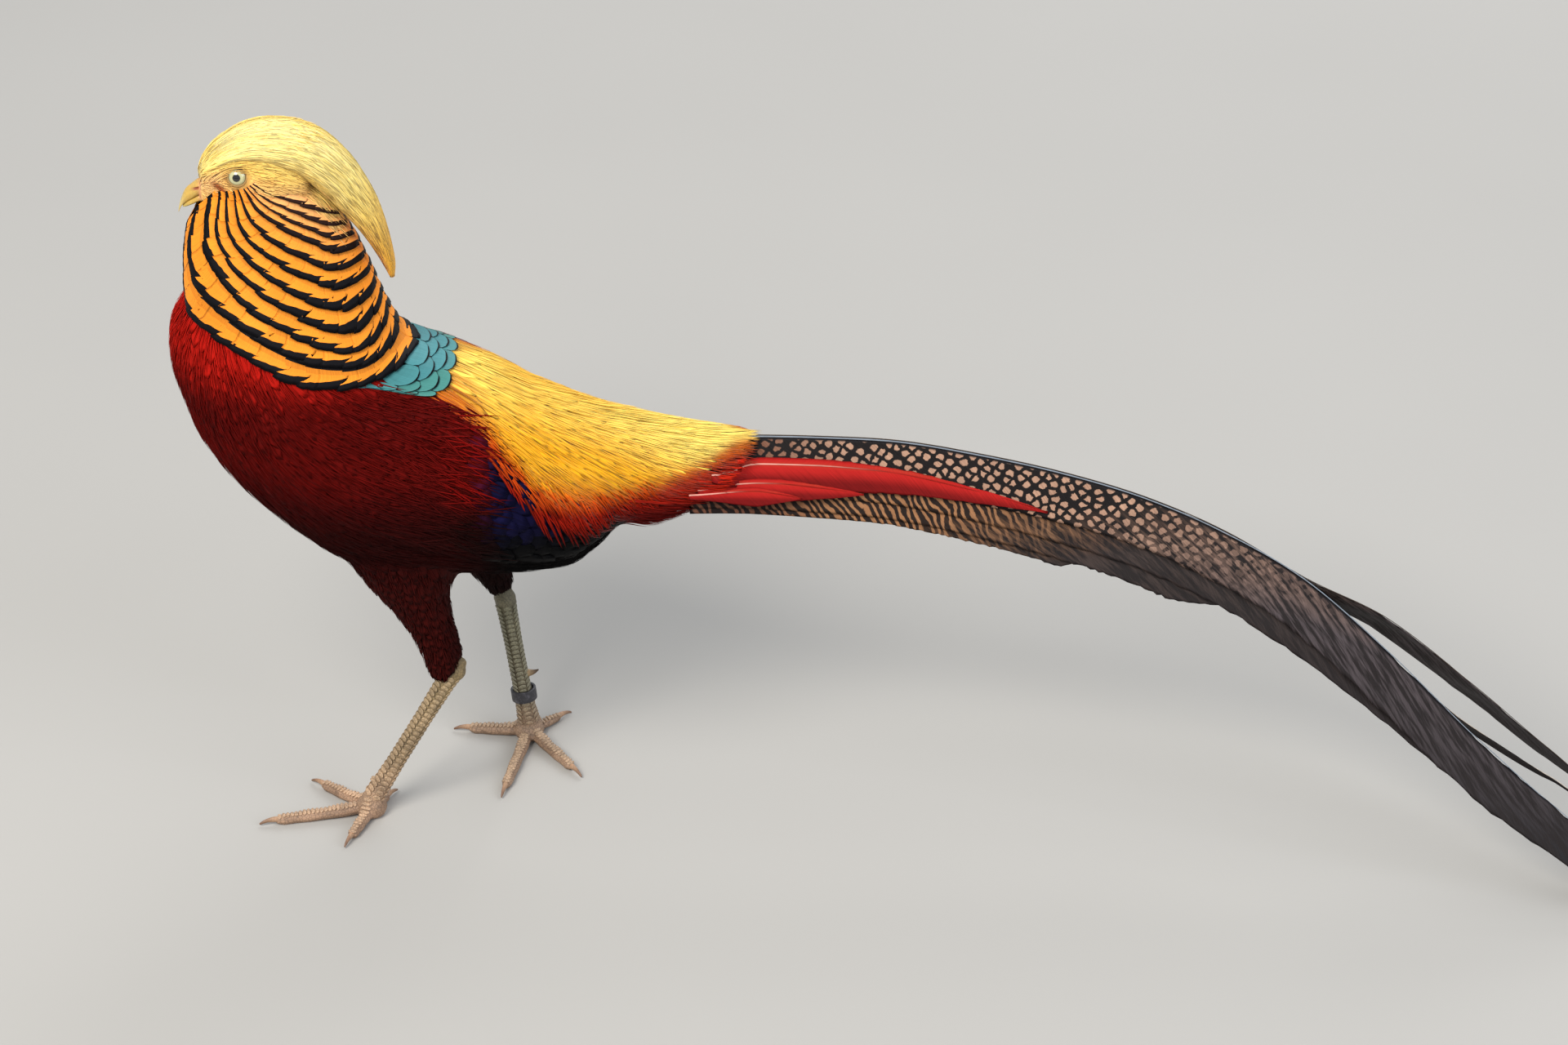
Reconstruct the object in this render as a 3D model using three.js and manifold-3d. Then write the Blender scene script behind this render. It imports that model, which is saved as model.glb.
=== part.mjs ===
// A cock golden pheasant, life size, walking with its left side to the viewer.
// Millimetres, +Z up. The bill points along -X, the left side faces -Y, the soles and the
// tail tips lie on the floor at z = 0.
import * as THREE from 'three';
import * as BufferGeometryUtils from 'three/addons/utils/BufferGeometryUtils.js';
import Module from 'manifold-3d';

const wasm = await Module();
wasm.setup();

// Driving dimensions.
const gap = 0.3;                  // clearance between touching pieces
const midlineY = -6;              // the body's plane of symmetry
const bodyRise = 3.7;             // lift of the body stations above their own level
const capeProud = 2;              // the ruff lies this far over the breast
const wingProud = 2.5;            // the folded wing lies this far over the flank
const wingDepth = 4;              // and reaches this far into it
const eyeRadius = 5.5;
const eyeX = -89.1;
const eyeZ = 352.1;
const eyeOut = 10.2;              // eye centre from the midline
const toeThick = 3.1;             // half thickness of a toe near its root
const clawLength = 9;
const ringOuter = 6.7;            // leg ring
const ringInner = 5.4;
const ringHeight = 6.5;
const ringCentre = [39.2, 20.1, 28.6];
const ringTilt = [-0.1, -0.12];   // about X and Y, in radians: it hangs loose on the shank
const ankleZ = 8;                 // where the shank meets the foot pad
const padRadius = 7.6;
const padHalfHeight = 6.8;
const padZ = 4.6;
const toeRise = 4.2;              // height of a toe's root above the floor
const hindToeRise = 7;
const clawTipZ = 2.3;
const spurShare = 0.6;            // the spur stands this far down the shank
const featherThick = 1.0;         // tail feathers and coverts
const layerStep = 1.5;            // depth from one tail feather to the next under it
const tailHeadX = 157;            // where the body ends and the tail feathers begin
const tailStep = 25;              // from one section of a tail feather to the next
const rootGap = 0.8;              // between the body's end and the feathers' roots
const rootLength = 170;           // over which the tail opens to its full width

// Finishes.
const finish = (color, roughness = 0.7, metalness = 0) => ({ color, roughness, metalness });
const finishes = {
  gold: finish('#f5c93a', 0.55),
  orange: finish('#ea8f2c', 0.6),
  teal: finish('#4b9c9f', 0.5),
  crimson: finish('#9c120c', 0.65),
  maroon: finish('#42100a', 0.7),
  navy: finish('#1b1c3c', 0.6),
  face: finish('#e0a76a', 0.7),
  bill: finish('#e3c368', 0.4),
  iris: finish('#e6e2b4', 0.1),
  leg: finish('#a58d6c', 0.5),
  claw: finish('#8c7458', 0.4),
  ring: finish('#4a4145', 0.5),
  barred: finish('#7d5a42', 0.6),
};

// A value on the smooth curve through four neighbours.
function catmull(before, from, to, after, t) {
  const linear = (to - before) * t;
  const square = (2 * before - 5 * from + 4 * to - after) * t * t;
  const cube = (3 * from - before - 3 * to + after) * t * t * t;
  return 0.5 * (2 * from + linear + square + cube);
}

// Stations between the named ones, on smooth curves through all of them.
function smooth(stations, steps) {
  const last = stations.length - 1;
  const result = [];
  for (let i = 0; i < last; i += 1) {
    const four = [Math.max(i - 1, 0), i, i + 1, Math.min(i + 2, last)].map((k) => stations[k]);
    for (let step = 0; step < steps; step += 1) {
      result.push(four[0].map((_, k) => catmull(...four.map((s) => s[k]), step / steps)));
    }
  }
  result.push(stations[last]);
  return result;
}

// A closed body over rings with the same number of points, with a fan at each end.
function loft(rings) {
  const sides = rings[0].length;
  const positions = [];
  const middle = (ring) => ring.reduce((sum, p) => sum.add(p), new THREE.Vector3())
    .divideScalar(sides);
  const face = (...points) => points.forEach((p) => positions.push(p.x, p.y, p.z));
  for (let i = 0; i + 1 < rings.length; i += 1) {
    for (let k = 0; k < sides; k += 1) {
      const next = (k + 1) % sides;
      face(rings[i][k], rings[i][next], rings[i + 1][next]);
      face(rings[i][k], rings[i + 1][next], rings[i + 1][k]);
    }
  }
  const first = rings[0];
  const end = rings[rings.length - 1];
  for (let k = 0; k < sides; k += 1) {
    const next = (k + 1) % sides;
    face(middle(first), first[next], first[k]);
    face(middle(end), end[k], end[next]);
  }
  const geometry = new THREE.BufferGeometry();
  geometry.setAttribute('position', new THREE.Float32BufferAttribute(positions, 3));
  return geometry;
}

// Six times the volume, negative where the faces point inwards.
function signedVolume(vertices, faces) {
  const corner = (k) => new THREE.Vector3().fromArray(vertices, 3 * faces[k]);
  let total = 0;
  for (let k = 0; k < faces.length; k += 3) {
    total += corner(k).dot(corner(k + 1).cross(corner(k + 2)));
  }
  return total;
}

// A solid from a closed geometry, with its faces pointing out.
function solid(geometry) {
  const bare = geometry.clone();
  ['normal', 'uv'].forEach((name) => bare.deleteAttribute(name));
  const merged = BufferGeometryUtils.mergeVertices(bare, 1e-4);
  const vertProperties = new Float32Array(merged.attributes.position.array);
  const triVerts = new Uint32Array(merged.index.array);
  if (signedVolume(vertProperties, triVerts) < 0) {
    for (let k = 0; k < triVerts.length; k += 3) {
      [triVerts[k], triVerts[k + 1]] = [triVerts[k + 1], triVerts[k]];
    }
  }
  return new wasm.Manifold(new wasm.Mesh({ numProp: 3, vertProperties, triVerts }));
}

const cut = (piece, ...tools) => tools.reduce((left, tool) => left.subtract(tool), piece);
const join = (piece, ...more) => more.reduce((sum, one) => sum.add(one), piece);

const bird = new THREE.Group();

function addPiece(name, manifold, look) {
  const parts = manifold.decompose().sort((a, b) => b.volume() - a.volume());
  const mesh = parts[0].getMesh();
  const geometry = new THREE.BufferGeometry();
  const vertices = new Float32Array(mesh.vertProperties);
  geometry.setAttribute('position', new THREE.BufferAttribute(vertices, 3));
  geometry.setIndex(new THREE.BufferAttribute(new Uint32Array(mesh.triVerts), 1));
  const piece = new THREE.Mesh(geometry, new THREE.MeshStandardMaterial(look));
  piece.name = name;
  bird.add(piece);
}

// An oval ring: a centre and its two half axes.
function oval(centre, across, along, sides) {
  return Array.from({ length: sides }, (_, k) => {
    const angle = (2 * Math.PI * k) / sides;
    return centre.clone()
      .addScaledVector(across, Math.cos(angle))
      .addScaledVector(along, Math.sin(angle));
  });
}

// A form that is even about the midline. A station is one edge (x, z) in the midline plane,
// the opposite edge (x, z) and the half width. grow swells it all round.
function evenForm(stations, { sides = 24, steps = 2, grow = 0 } = {}) {
  const all = smooth(stations, steps);
  const centre = (s) => new THREE.Vector3((s[0] + s[2]) / 2, midlineY, (s[1] + s[3]) / 2 + bodyRise);
  const rings = all.map((s, i) => {
    const half = new THREE.Vector3((s[0] - s[2]) / 2, 0, (s[1] - s[3]) / 2);
    half.setLength(half.length() + grow);
    const across = new THREE.Vector3(0, s[4] + grow, 0);
    const middle = centre(s);
    if (i === 0 || i === all.length - 1) {
      const inner = centre(all[i === 0 ? 1 : i - 1]);
      middle.addScaledVector(middle.clone().sub(inner).normalize(), grow);
    }
    return oval(middle, across, half, sides);
  });
  return solid(loft(rings));
}

// A round limb. A station is x, y, z, the half width and the half depth, where depth lies
// along the forward direction. Nothing of it goes under the floor.
function limb(stations, forward, { sides = 10, steps = 3, grow = 0, onFloor = false } = {}) {
  const all = smooth(stations, steps);
  const centres = all.map((s) => new THREE.Vector3(s[0], s[1], s[2]));
  const rings = all.map((s, i) => {
    const from = centres[Math.max(i - 1, 0)];
    const to = centres[Math.min(i + 1, all.length - 1)];
    const along = to.clone().sub(from).normalize();
    const side = along.clone().cross(forward).normalize();
    const front = side.clone().cross(along).normalize();
    const middle = centres[i].clone();
    if (i === 0) middle.addScaledVector(along, -grow);
    if (i === all.length - 1) middle.addScaledVector(along, grow);
    const ring = oval(middle, side.multiplyScalar(s[3] + grow),
      front.multiplyScalar(s[4] + grow), sides);
    if (onFloor) ring.forEach((p) => { p.z = Math.max(p.z, 0); });
    return ring;
  });
  return solid(loft(rings));
}

// An outline seen from the side, moved out by a distance.
function widened(outline, distance) {
  const count = outline.length;
  const turn = Math.sign(THREE.ShapeUtils.area(outline));
  return outline.map((point, i) => {
    const normal = new THREE.Vector2();
    for (const [a, b] of [[outline[(i + count - 1) % count], point], [point, outline[(i + 1) % count]]]) {
      const edge = b.clone().sub(a).normalize();
      normal.add(new THREE.Vector2(edge.y, -edge.x).multiplyScalar(turn));
    }
    return point.clone().addScaledVector(normal.normalize(), distance);
  });
}

// A block with a side-view outline, from one y to another, both measured from the midline.
function block(points, fromY, toY, grow = 0) {
  const outline = widened(points.map(([x, z]) => new THREE.Vector2(x, z + bodyRise)), grow);
  const geometry = new THREE.ExtrudeGeometry(new THREE.Shape(outline), {
    depth: toY - fromY + 2 * grow, bevelEnabled: false,
  });
  geometry.rotateX(Math.PI / 2);
  geometry.translate(0, toY + grow + midlineY, 0);
  return solid(geometry);
}

// Trunk: top edge, bottom edge and half width, from the breast to the tail head.
const trunkStations = [
  [-128.6, 262, -128.6, 250, 6],
  [-126.5, 271, -126.5, 237, 17],
  [-122, 278, -122, 225, 25],
  [-115, 285, -115, 205, 36],
  [-104, 291, -104, 187.5, 45],
  [-90.6, 289, -90.6, 171.5, 50.5],
  [-70.7, 283.5, -70.7, 153, 56],
  [-50.9, 273.5, -50.9, 137.5, 59],
  [-31, 262, -31, 131, 60],
  [-11, 254, -11, 128.5, 59],
  [9, 248, 9, 126, 57],
  [29, 237, 29, 126.5, 54],
  [49, 225, 49, 127.5, 49],
  [69, 217.5, 69, 129.5, 42],
  [83, 212.5, 83, 142, 36],
  [92, 210.5, 92, 153.5, 31],
  [110, 206.5, 110, 153.7, 27],
  [131, 201.8, 131, 163.8, 23],
  [151, 199.2, 151, 170.5, 18],
  [161, 197, 161, 175, 15.5],
];
const trunkForm = (grow) => evenForm(trunkStations, { sides: 20, steps: 1, grow });

// Neck inside the ruff: front edge, rear edge and half width, from the shoulders up.
const neckStations = [
  [-105.9, 243.1, -10, 238.4, 55],
  [-116.5, 264.2, -14, 257.2, 50],
  [-120.5, 287.5, -20.5, 272.2, 42],
  [-119.3, 303.7, -27, 292.2, 34],
  [-117, 319.8, -34.5, 312.9, 26],
  [-111.4, 333.4, -48.5, 335.7, 18.5],
  [-104, 343, -60, 347, 13],
];
const neckForm = (grow) => evenForm(neckStations, { sides: 20, steps: 1, grow });

// Head: top, bottom and half width, from the root of the bill to the nape.
const headStations = [
  [-109.5, 345.2, -109.5, 334.6, 5.6],
  [-106.5, 351, -106.5, 333, 8.4],
  [-100, 360, -100, 330.5, 11.6],
  [-92, 367, -92, 329, 13.9],
  [-83, 370.5, -83, 328, 15.2],
  [-74, 370, -74, 328, 15.5],
  [-65, 365, -65, 329.5, 14],
  [-57, 355, -57, 333, 9.5],
];
const headForm = (grow) => evenForm(headStations, { sides: 14, steps: 1, grow });

// Crest: outer edge, inner edge and half width, from the forehead over the crown to its tip.
const crestStations = [
  [-109.6, 346.5, -106.5, 344.5, 3],
  [-109, 353.3, -102.5, 351, 8.2],
  [-104.9, 360.6, -97, 354, 11.8],
  [-97.3, 367.6, -90, 357, 14.4],
  [-88.6, 373.1, -83.5, 357.5, 16],
  [-76, 376.3, -75, 356.5, 17],
  [-60.6, 375.3, -64.5, 352, 17],
  [-47.6, 369.6, -56, 346, 16],
  [-36, 358.2, -48.8, 338, 14],
  [-28.9, 346.7, -42, 329.5, 12.2],
  [-22.6, 332.9, -34.8, 320.5, 10],
  [-18, 314.7, -27.8, 309.5, 7],
  [-15.7, 299.6, -22, 298, 4],
  [-16.3, 290.8, -18.7, 290.2, 1.1],
];
const crestForm = (grow) => evenForm(crestStations, { sides: 12, steps: 1, grow });

// Bill: top edge, bottom edge and half width, from inside the head to the tip.
const upperBillStations = [
  [-104.5, 347, -104.5, 338, 5.4],
  [-109.5, 345, -109.5, 337.6, 5],
  [-113, 342.6, -113, 335.4, 4.3],
  [-116.6, 339.4, -116.6, 332.9, 3.3],
  [-119, 334.4, -119, 330.2, 2],
  [-120.4, 329.6, -120.3, 327.4, 0.9],
  [-120.8, 327, -120.7, 326.4, 0.35],
];
const lowerBillStations = [
  [-104.5, 337, -104.5, 332.8, 4.6],
  [-109.5, 336.9, -109.5, 333.2, 4.3],
  [-113, 334.8, -113, 331.6, 3.7],
  [-116.4, 332.3, -116.4, 330, 2.6],
  [-118.2, 330.2, -118.2, 329.3, 1],
];
const upperBill = (grow) => evenForm(upperBillStations, { sides: 10, steps: 1, grow });
const lowerBill = (grow) => evenForm(lowerBillStations, { sides: 8, steps: 1, grow });

// Fields of the plumage, as outlines seen from the side.
const capeField = [
  [-140, 297], [-118, 293.6], [-112.7, 283.7], [-106.4, 276], [-98, 269], [-86, 263.5],
  [-71, 258.5], [-48, 254], [-33, 251], [-20.5, 249.6], [-10, 248.4], [-5, 250.5], [-2.5, 257],
  [-1, 275], [12, 300], [12, 375], [-140, 375],
];
const mantleField = [
  [-30, 252], [-24, 247.8], [-12, 243.6], [-2, 240.3], [5, 239], [10, 240.8], [12.3, 244.5],
  [12, 256], [8, 275], [-10, 290], [-30, 262],
];
const rumpField = [
  [2, 240], [14.8, 234.8], [23.4, 226.4], [31, 215.6], [37.5, 207.5], [46, 198.2], [52, 191],
  [70, 183.8], [92, 180.4], [110, 183], [124, 187], [142.5, 192], [150, 194], [175, 196],
  [175, 260], [6, 290],
];
const wingField = [
  [-84, 232], [-78, 214], [-60, 196], [-35, 180], [0, 165], [35, 153], [60, 150], [76, 152],
  [85, 159], [88, 168], [84, 180], [66, 190], [44, 202], [22, 222], [4, 234], [-30, 240],
  [-62, 243],
];
const wide = 120;

const leftWingShell = (grow) => block(wingField, -wide, -12, grow);
const rightWingShell = (grow) => block(wingField, 12, wide, grow);
const wingSkin = (grow) => cut(trunkForm(wingProud + grow), trunkForm(-wingDepth - grow));

// Legs. The hock and the middle of the foot are places in the part's own space.
const legs = {
  left: {
    hock: [7.4, -33, 79.5],
    foot: [-37, -48.6],
    thigh: [
      [-16, -30, 178, 21, 34],
      [-15, -30, 152, 21, 32],
      [-12, -30, 134, 18.5, 23],
      [-8.5, -31, 119, 14, 14.8],
      [-3, -32, 104, 10.5, 11.3],
      [1.8, -32.6, 88, 9, 10.2],
      [2.6, -33.4, 75, 7.2, 8.2],
    ],
    toes: [[-94.2, -60.5], [-49, -80.5], [-70.4, -20.9], [-25.2, -29.5]],
    spurWay: [0.55, 0.83],
  },
  right: {
    hock: [31.2, 14, 93],
    foot: [41.4, 21.8],
    thigh: [
      [8, 18, 176, 20, 32],
      [12, 17, 150, 19, 28],
      [17, 15, 132, 16, 21],
      [22.5, 14.5, 118, 11, 13.5],
      [27, 14, 106, 8, 8.6],
      [30.4, 14, 97, 6.4, 6.2],
    ],
    toes: [[29.2, -36.4], [1.2, 26.7], [70.2, -17.9], [62.6, 42.4]],
    spurWay: [1, 0.1],
  },
};

function shankForm(leg, grow) {
  const hock = new THREE.Vector3(...leg.hock);
  const ankle = new THREE.Vector3(leg.foot[0], leg.foot[1], ankleZ);
  const at = (t, halfWidth, halfDepth) => {
    const p = hock.clone().lerp(ankle, t);
    return [p.x, p.y, p.z, halfWidth, halfDepth];
  };
  const stations = [
    at(-0.07, 3, 3.4), at(0, 4.6, 5.4), at(0.12, 3.8, 4.6), at(0.35, 3.2, 4.1),
    at(0.7, 3.2, 4.1), at(0.88, 4.1, 4.6), at(1, 5.4, 5.6),
  ];
  const shaft = limb(stations, new THREE.Vector3(-1, 0, 0), { sides: 8, steps: 1, grow });
  const pad = new THREE.SphereGeometry(1, 12, 6);
  pad.scale(padRadius + grow, padRadius + grow, padHalfHeight + grow);
  pad.translate(leg.foot[0], leg.foot[1], padZ);
  const position = pad.attributes.position;
  for (let k = 0; k < position.count; k += 1) {
    position.setZ(k, Math.max(position.getZ(k), 0));
  }
  return join(shaft, solid(pad));
}

// A toe runs from inside the foot pad to where its claw begins.
function toePath(leg, tip, lift) {
  const from = new THREE.Vector3(leg.foot[0], leg.foot[1], lift);
  const to = new THREE.Vector3(tip[0], tip[1], clawTipZ);
  const length = from.distanceTo(to);
  const at = (t) => from.clone().lerp(to, t);
  return { at, clawStart: 1 - clawLength / length };
}

function toeForm(leg, tip, isHind, grow) {
  const rootHeight = isHind ? hindToeRise : toeRise;
  const { at, clawStart } = toePath(leg, tip, rootHeight);
  const thin = isHind ? 0.8 : 1;
  const station = (t, knuckle, height) => {
    const p = at(t * clawStart);
    const half = toeThick * knuckle * thin;
    return [p.x, p.y, height, half, half * 0.95];
  };
  const stations = [
    station(0.12, 0.95, rootHeight), station(0.34, 1.0, 3.4 * thin), station(0.5, 0.86, 2.8),
    station(0.66, 0.94, 2.8), station(0.8, 0.78, 2.5), station(0.93, 0.82, 2.4),
    station(1, 0.5, 2.4),
  ];
  return limb(stations, new THREE.Vector3(0, 0, 1), { sides: 6, steps: 1, grow, onFloor: true });
}

function clawForm(leg, tip, isHind) {
  const { at, clawStart } = toePath(leg, tip, isHind ? hindToeRise : toeRise);
  const station = (t, height, half) => {
    const p = at(clawStart + (1 - clawStart) * t);
    return [p.x, p.y, height, half * 0.8, half];
  };
  const stations = [
    station(-0.14, 2.6, 1.5), station(0.1, 3, 1.6), station(0.5, 2.9, 1.15),
    station(0.85, 1.5, 0.6), station(1, 0.7, 0.3),
  ];
  return limb(stations, new THREE.Vector3(0, 0, 1), { sides: 5, steps: 1, onFloor: true });
}

function spurForm(leg) {
  const hock = new THREE.Vector3(...leg.hock);
  const ankle = new THREE.Vector3(leg.foot[0], leg.foot[1], ankleZ);
  const root = hock.lerp(ankle, spurShare);
  const way = new THREE.Vector3(leg.spurWay[0], leg.spurWay[1], 0).normalize();
  const station = (out, up, half) => {
    const p = root.clone().addScaledVector(way, out);
    return [p.x, p.y, p.z + up, half, half];
  };
  const stations = [
    station(1.5, 0.5, 2.5), station(4.8, 0, 2), station(7.6, 0.4, 1.2), station(10, 1.6, 0.35),
  ];
  return limb(stations, new THREE.Vector3(0, 0, 1), { sides: 6, steps: 1 });
}

function legRing() {
  const profile = [
    [ringInner, -ringHeight / 2], [ringOuter, -ringHeight / 2], [ringOuter, ringHeight / 2],
    [ringInner, ringHeight / 2], [ringInner, -ringHeight / 2],
  ].map(([r, y]) => new THREE.Vector2(r, y));
  const geometry = new THREE.LatheGeometry(profile, 20);
  geometry.rotateX(Math.PI / 2 + ringTilt[0]);
  geometry.rotateY(ringTilt[1]);
  geometry.translate(...ringCentre);
  return solid(geometry);
}

// The ridges of the folded tail, from the tail head to the tip: x, y, z, and the slope of
// the feathers' flanks in degrees. The halves part after a while: the right one goes off
// to its own side.
const sharedRidge = [
  [150, -6, 203, 55],
  [192, -8, 203.5, 54],
  [234, -10, 202, 52],
  [275, -14, 196.5, 52],
  [316, -19, 189, 52],
  [357, -27, 179.5, 52],
  [397, -38, 166, 50],
  [438, -53, 147, 47],
];
const leftRidge = [
  ...sharedRidge,
  [479, -71, 116.5, 44],
  [520, -91, 81.5, 42],
  [566, -112, 47, 36],
  [605, -128, 21, 24],
  [640, -140, 6.5, 12],
  [680, -150, 2.2, 4],
  [716, -156, 1.3, 2],
];
const rightRidge = [
  ...sharedRidge,
  [479, -58, 127, 52],
  [519, -67, 97, 58],
  [564, -85, 64, 54],
  [604, -98, 34, 34],
  [640, -106, 12, 10],
  [675, -111, 3.2, 3],
  [705, -114, 1.4, 2],
];
const middleRidge = [
  ...sharedRidge,
  [479, -66, 117, 48],
  [520, -80, 86, 56],
  [566, -98, 62, 56],
  [600, -110, 44, 50],
];

// The ridge point and its slope at a distance along X.
function ridgeAt(ridge, x) {
  const last = ridge.length - 1;
  let i = ridge.findIndex((station) => station[0] > x) - 1;
  if (i < -1) i = last - 1;
  i = Math.max(i, 0);
  const t = (x - ridge[i][0]) / (ridge[i + 1][0] - ridge[i][0]);
  const four = [Math.max(i - 1, 0), i, i + 1, Math.min(i + 2, last)].map((k) => ridge[k]);
  const value = four[0].map((_, k) => catmull(...four.map((s) => s[k]), t));
  return { point: new THREE.Vector3(x, value[1], value[2]), slope: THREE.MathUtils.degToRad(value[3]) };
}

// A long feather on one flank of the roof-shaped tail, so many steps long. inner and outer
// are the distances of its edges down the slope; layer counts the feathers above it; tip is
// the share of its length that narrows to the end; root is how far it is spread at its root;
// a centred feather narrows to its middle line, any other to its inner edge.
function tailFeather(side, {
  ridge, steps, step = tailStep, inner, outer, layer, tip, root = 1, centred = false,
}) {
  const rings = Array.from({ length: steps + 1 }, (_, i) => {
    const x = tailHeadX + rootGap + i * step;
    const { point, slope } = ridgeAt(ridge, x);
    const ahead = ridgeAt(ridge, x + 2).point.sub(ridgeAt(ridge, x - 2).point).normalize();
    const outward = new THREE.Vector3(ahead.y, -ahead.x, 0).normalize().multiplyScalar(side);
    const up = new THREE.Vector3().crossVectors(outward, ahead).multiplyScalar(side).normalize();
    const down = outward.clone().multiplyScalar(Math.cos(slope)).addScaledVector(up, -Math.sin(slope));
    const normal = outward.clone().multiplyScalar(Math.sin(slope)).addScaledVector(up, Math.cos(slope));
    const taper = Math.min(1, (1 - i / steps) / tip) ** 0.75;
    const opening = root + (1 - root) * Math.min(1, (x - tailHeadX) / rootLength);
    const fullHalf = ((outer - inner) / 2) * opening;
    const half = Math.max(fullHalf * taper, 0.7);
    const base = point.clone()
      .addScaledVector(down, inner * opening + (centred ? fullHalf : half))
      .addScaledVector(normal, -layer * layerStep);
    const corner = (across, through) => base.clone()
      .addScaledVector(down, across * half)
      .addScaledVector(normal, through * featherThick / 2);
    return [corner(-1, 1), corner(0, 1.3), corner(1, 1), corner(1, -1), corner(-1, -1)];
  });
  return solid(loft(rings));
}

const tailHalves = {
  left: {
    side: 1,
    feathers: {
      central: { ridge: leftRidge, steps: 22, inner: 1.2, outer: 26, layer: -0.2, tip: 0.3 },
      side_1: { ridge: leftRidge, steps: 17, inner: 13, outer: 36, layer: 1, tip: 0.34, root: 0.85 },
      side_2: { ridge: leftRidge, steps: 11, inner: 22, outer: 44, layer: 2, tip: 0.16, root: 0.85 },
      side_3: { ridge: leftRidge, steps: 8, inner: 30, outer: 47, layer: 3, tip: 0.16, root: 0.85 },
    },
  },
  right: {
    side: -1,
    feathers: {
      central: { ridge: rightRidge, steps: 21, inner: 1.2, outer: 23, layer: 0, tip: 0.4 },
      side_1: { ridge: middleRidge, steps: 17, inner: 8, outer: 26, layer: 2.2, tip: 0.3, root: 0.7 },
      side_2: { ridge: leftRidge, steps: 11, inner: 22, outer: 44, layer: 3.8, tip: 0.16, root: 0.85 },
      side_3: { ridge: leftRidge, steps: 8, inner: 30, outer: 47, layer: 5, tip: 0.16, root: 0.85 },
    },
  },
};

// Long red coverts that lie on the flanks of the tail.
const coverts = {
  covert_1: { steps: 6, step: 26, inner: 13, outer: 32, layer: -1.3, tip: 0.75, root: 0.9, centred: true },
  covert_2: { steps: 3, step: 20, inner: 25, outer: 38, layer: -2.3, tip: 0.7, root: 0.9, centred: true },
  covert_3: { steps: 2, step: 14, inner: 30, outer: 41, layer: -3.3, tip: 0.8, root: 0.9, centred: true },
};

// The whole body and its parts.
const whole = join(trunkForm(0), neckForm(0));
const tailHead = block([[tailHeadX, 120], [200, 120], [200, 240], [tailHeadX, 240]], -wide, wide);
const thighs = Object.fromEntries(Object.entries(legs).map(([side, leg]) => [
  side, (grow) => limb(leg.thigh, new THREE.Vector3(-1, 0, 0), { sides: 10, steps: 1, grow }),
]));

const capeForm = join(neckForm(0), trunkForm(capeProud))
  .intersect(block(capeField, -wide, wide));
addPiece('cape', cut(capeForm, headForm(gap), crestForm(gap), upperBill(gap), lowerBill(gap)),
  finishes.orange);
addPiece('mantle', cut(whole.intersect(block(mantleField, -wide, wide)),
  block(capeField, -wide, wide, gap)), finishes.teal);
addPiece('rump', cut(whole.intersect(block(rumpField, -wide, wide)), tailHead,
  block(capeField, -wide, wide, gap), block(mantleField, -wide, wide, gap)), finishes.gold);
addPiece('trunk', cut(whole, tailHead,
  block(capeField, -wide, wide, gap), block(mantleField, -wide, wide, gap),
  block(rumpField, -wide, wide, gap),
  wingSkin(gap).intersect(join(leftWingShell(gap), rightWingShell(gap))),
  thighs.left(gap), thighs.right(gap), shankForm(legs.left, gap), shankForm(legs.right, gap)),
finishes.crimson);

for (const [side, shell] of [['left', leftWingShell], ['right', rightWingShell]]) {
  const wing = wingSkin(0).intersect(shell(0));
  addPiece(`wing_${side}`, cut(wing, block(rumpField, -wide, wide, gap),
    block(capeField, -wide, wide, gap), block(mantleField, -wide, wide, gap),
    thighs[side](gap)), finishes.navy);
}

const eyes = (grow) => [-1, 1].map((side) => {
  const ball = new THREE.SphereGeometry(eyeRadius + grow, 12, 8);
  ball.translate(eyeX, midlineY + side * eyeOut, eyeZ + bodyRise);
  return solid(ball);
});
addPiece('head', cut(headForm(0), crestForm(gap), upperBill(gap), lowerBill(gap), ...eyes(gap)),
  finishes.face);
addPiece('crest', cut(crestForm(0), upperBill(gap), ...eyes(gap)), finishes.gold);
addPiece('bill_upper', upperBill(0), finishes.bill);
addPiece('bill_lower', cut(lowerBill(0), upperBill(gap)), finishes.bill);
['eye_left', 'eye_right'].forEach((name, i) => addPiece(name, eyes(0)[i], finishes.iris));

for (const [side, leg] of Object.entries(legs)) {
  addPiece(`thigh_${side}`, cut(thighs[side](0), shankForm(leg, gap)), finishes.maroon);
  const spur = spurForm(leg);
  addPiece(`shank_${side}`, shankForm(leg, 0), finishes.leg);
  addPiece(`spur_${side}`, cut(spur, shankForm(leg, gap)), finishes.claw);
  const done = [shankForm(leg, gap)];
  leg.toes.forEach((tip, i) => {
    const isHind = i === 3;
    const toe = cut(toeForm(leg, tip, isHind, 0), ...done);
    done.push(toeForm(leg, tip, isHind, gap));
    addPiece(`toe_${side}_${i + 1}`, toe, finishes.leg);
    addPiece(`claw_${side}_${i + 1}`, cut(clawForm(leg, tip, isHind), toeForm(leg, tip, isHind, gap)),
      finishes.claw);
  });
}
addPiece('leg_ring', legRing(), finishes.ring);

for (const [name, half] of Object.entries(tailHalves)) {
  for (const [feather, sizes] of Object.entries(half.feathers)) {
    addPiece(`tail_${name}_${feather}`, tailFeather(half.side, sizes), finishes.barred);
  }
  for (const [covert, sizes] of Object.entries(coverts)) {
    const red = tailFeather(half.side, { ridge: leftRidge, ...sizes });
    addPiece(`${covert}_${name}`, red, finishes.crimson);
  }
}

// The part's origin is on the floor, under the middle of its box.
const box = new THREE.Box3().setFromObject(bird);
const centre = box.getCenter(new THREE.Vector3());
bird.position.set(-centre.x, -centre.y, 0);

export default bird;
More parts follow.
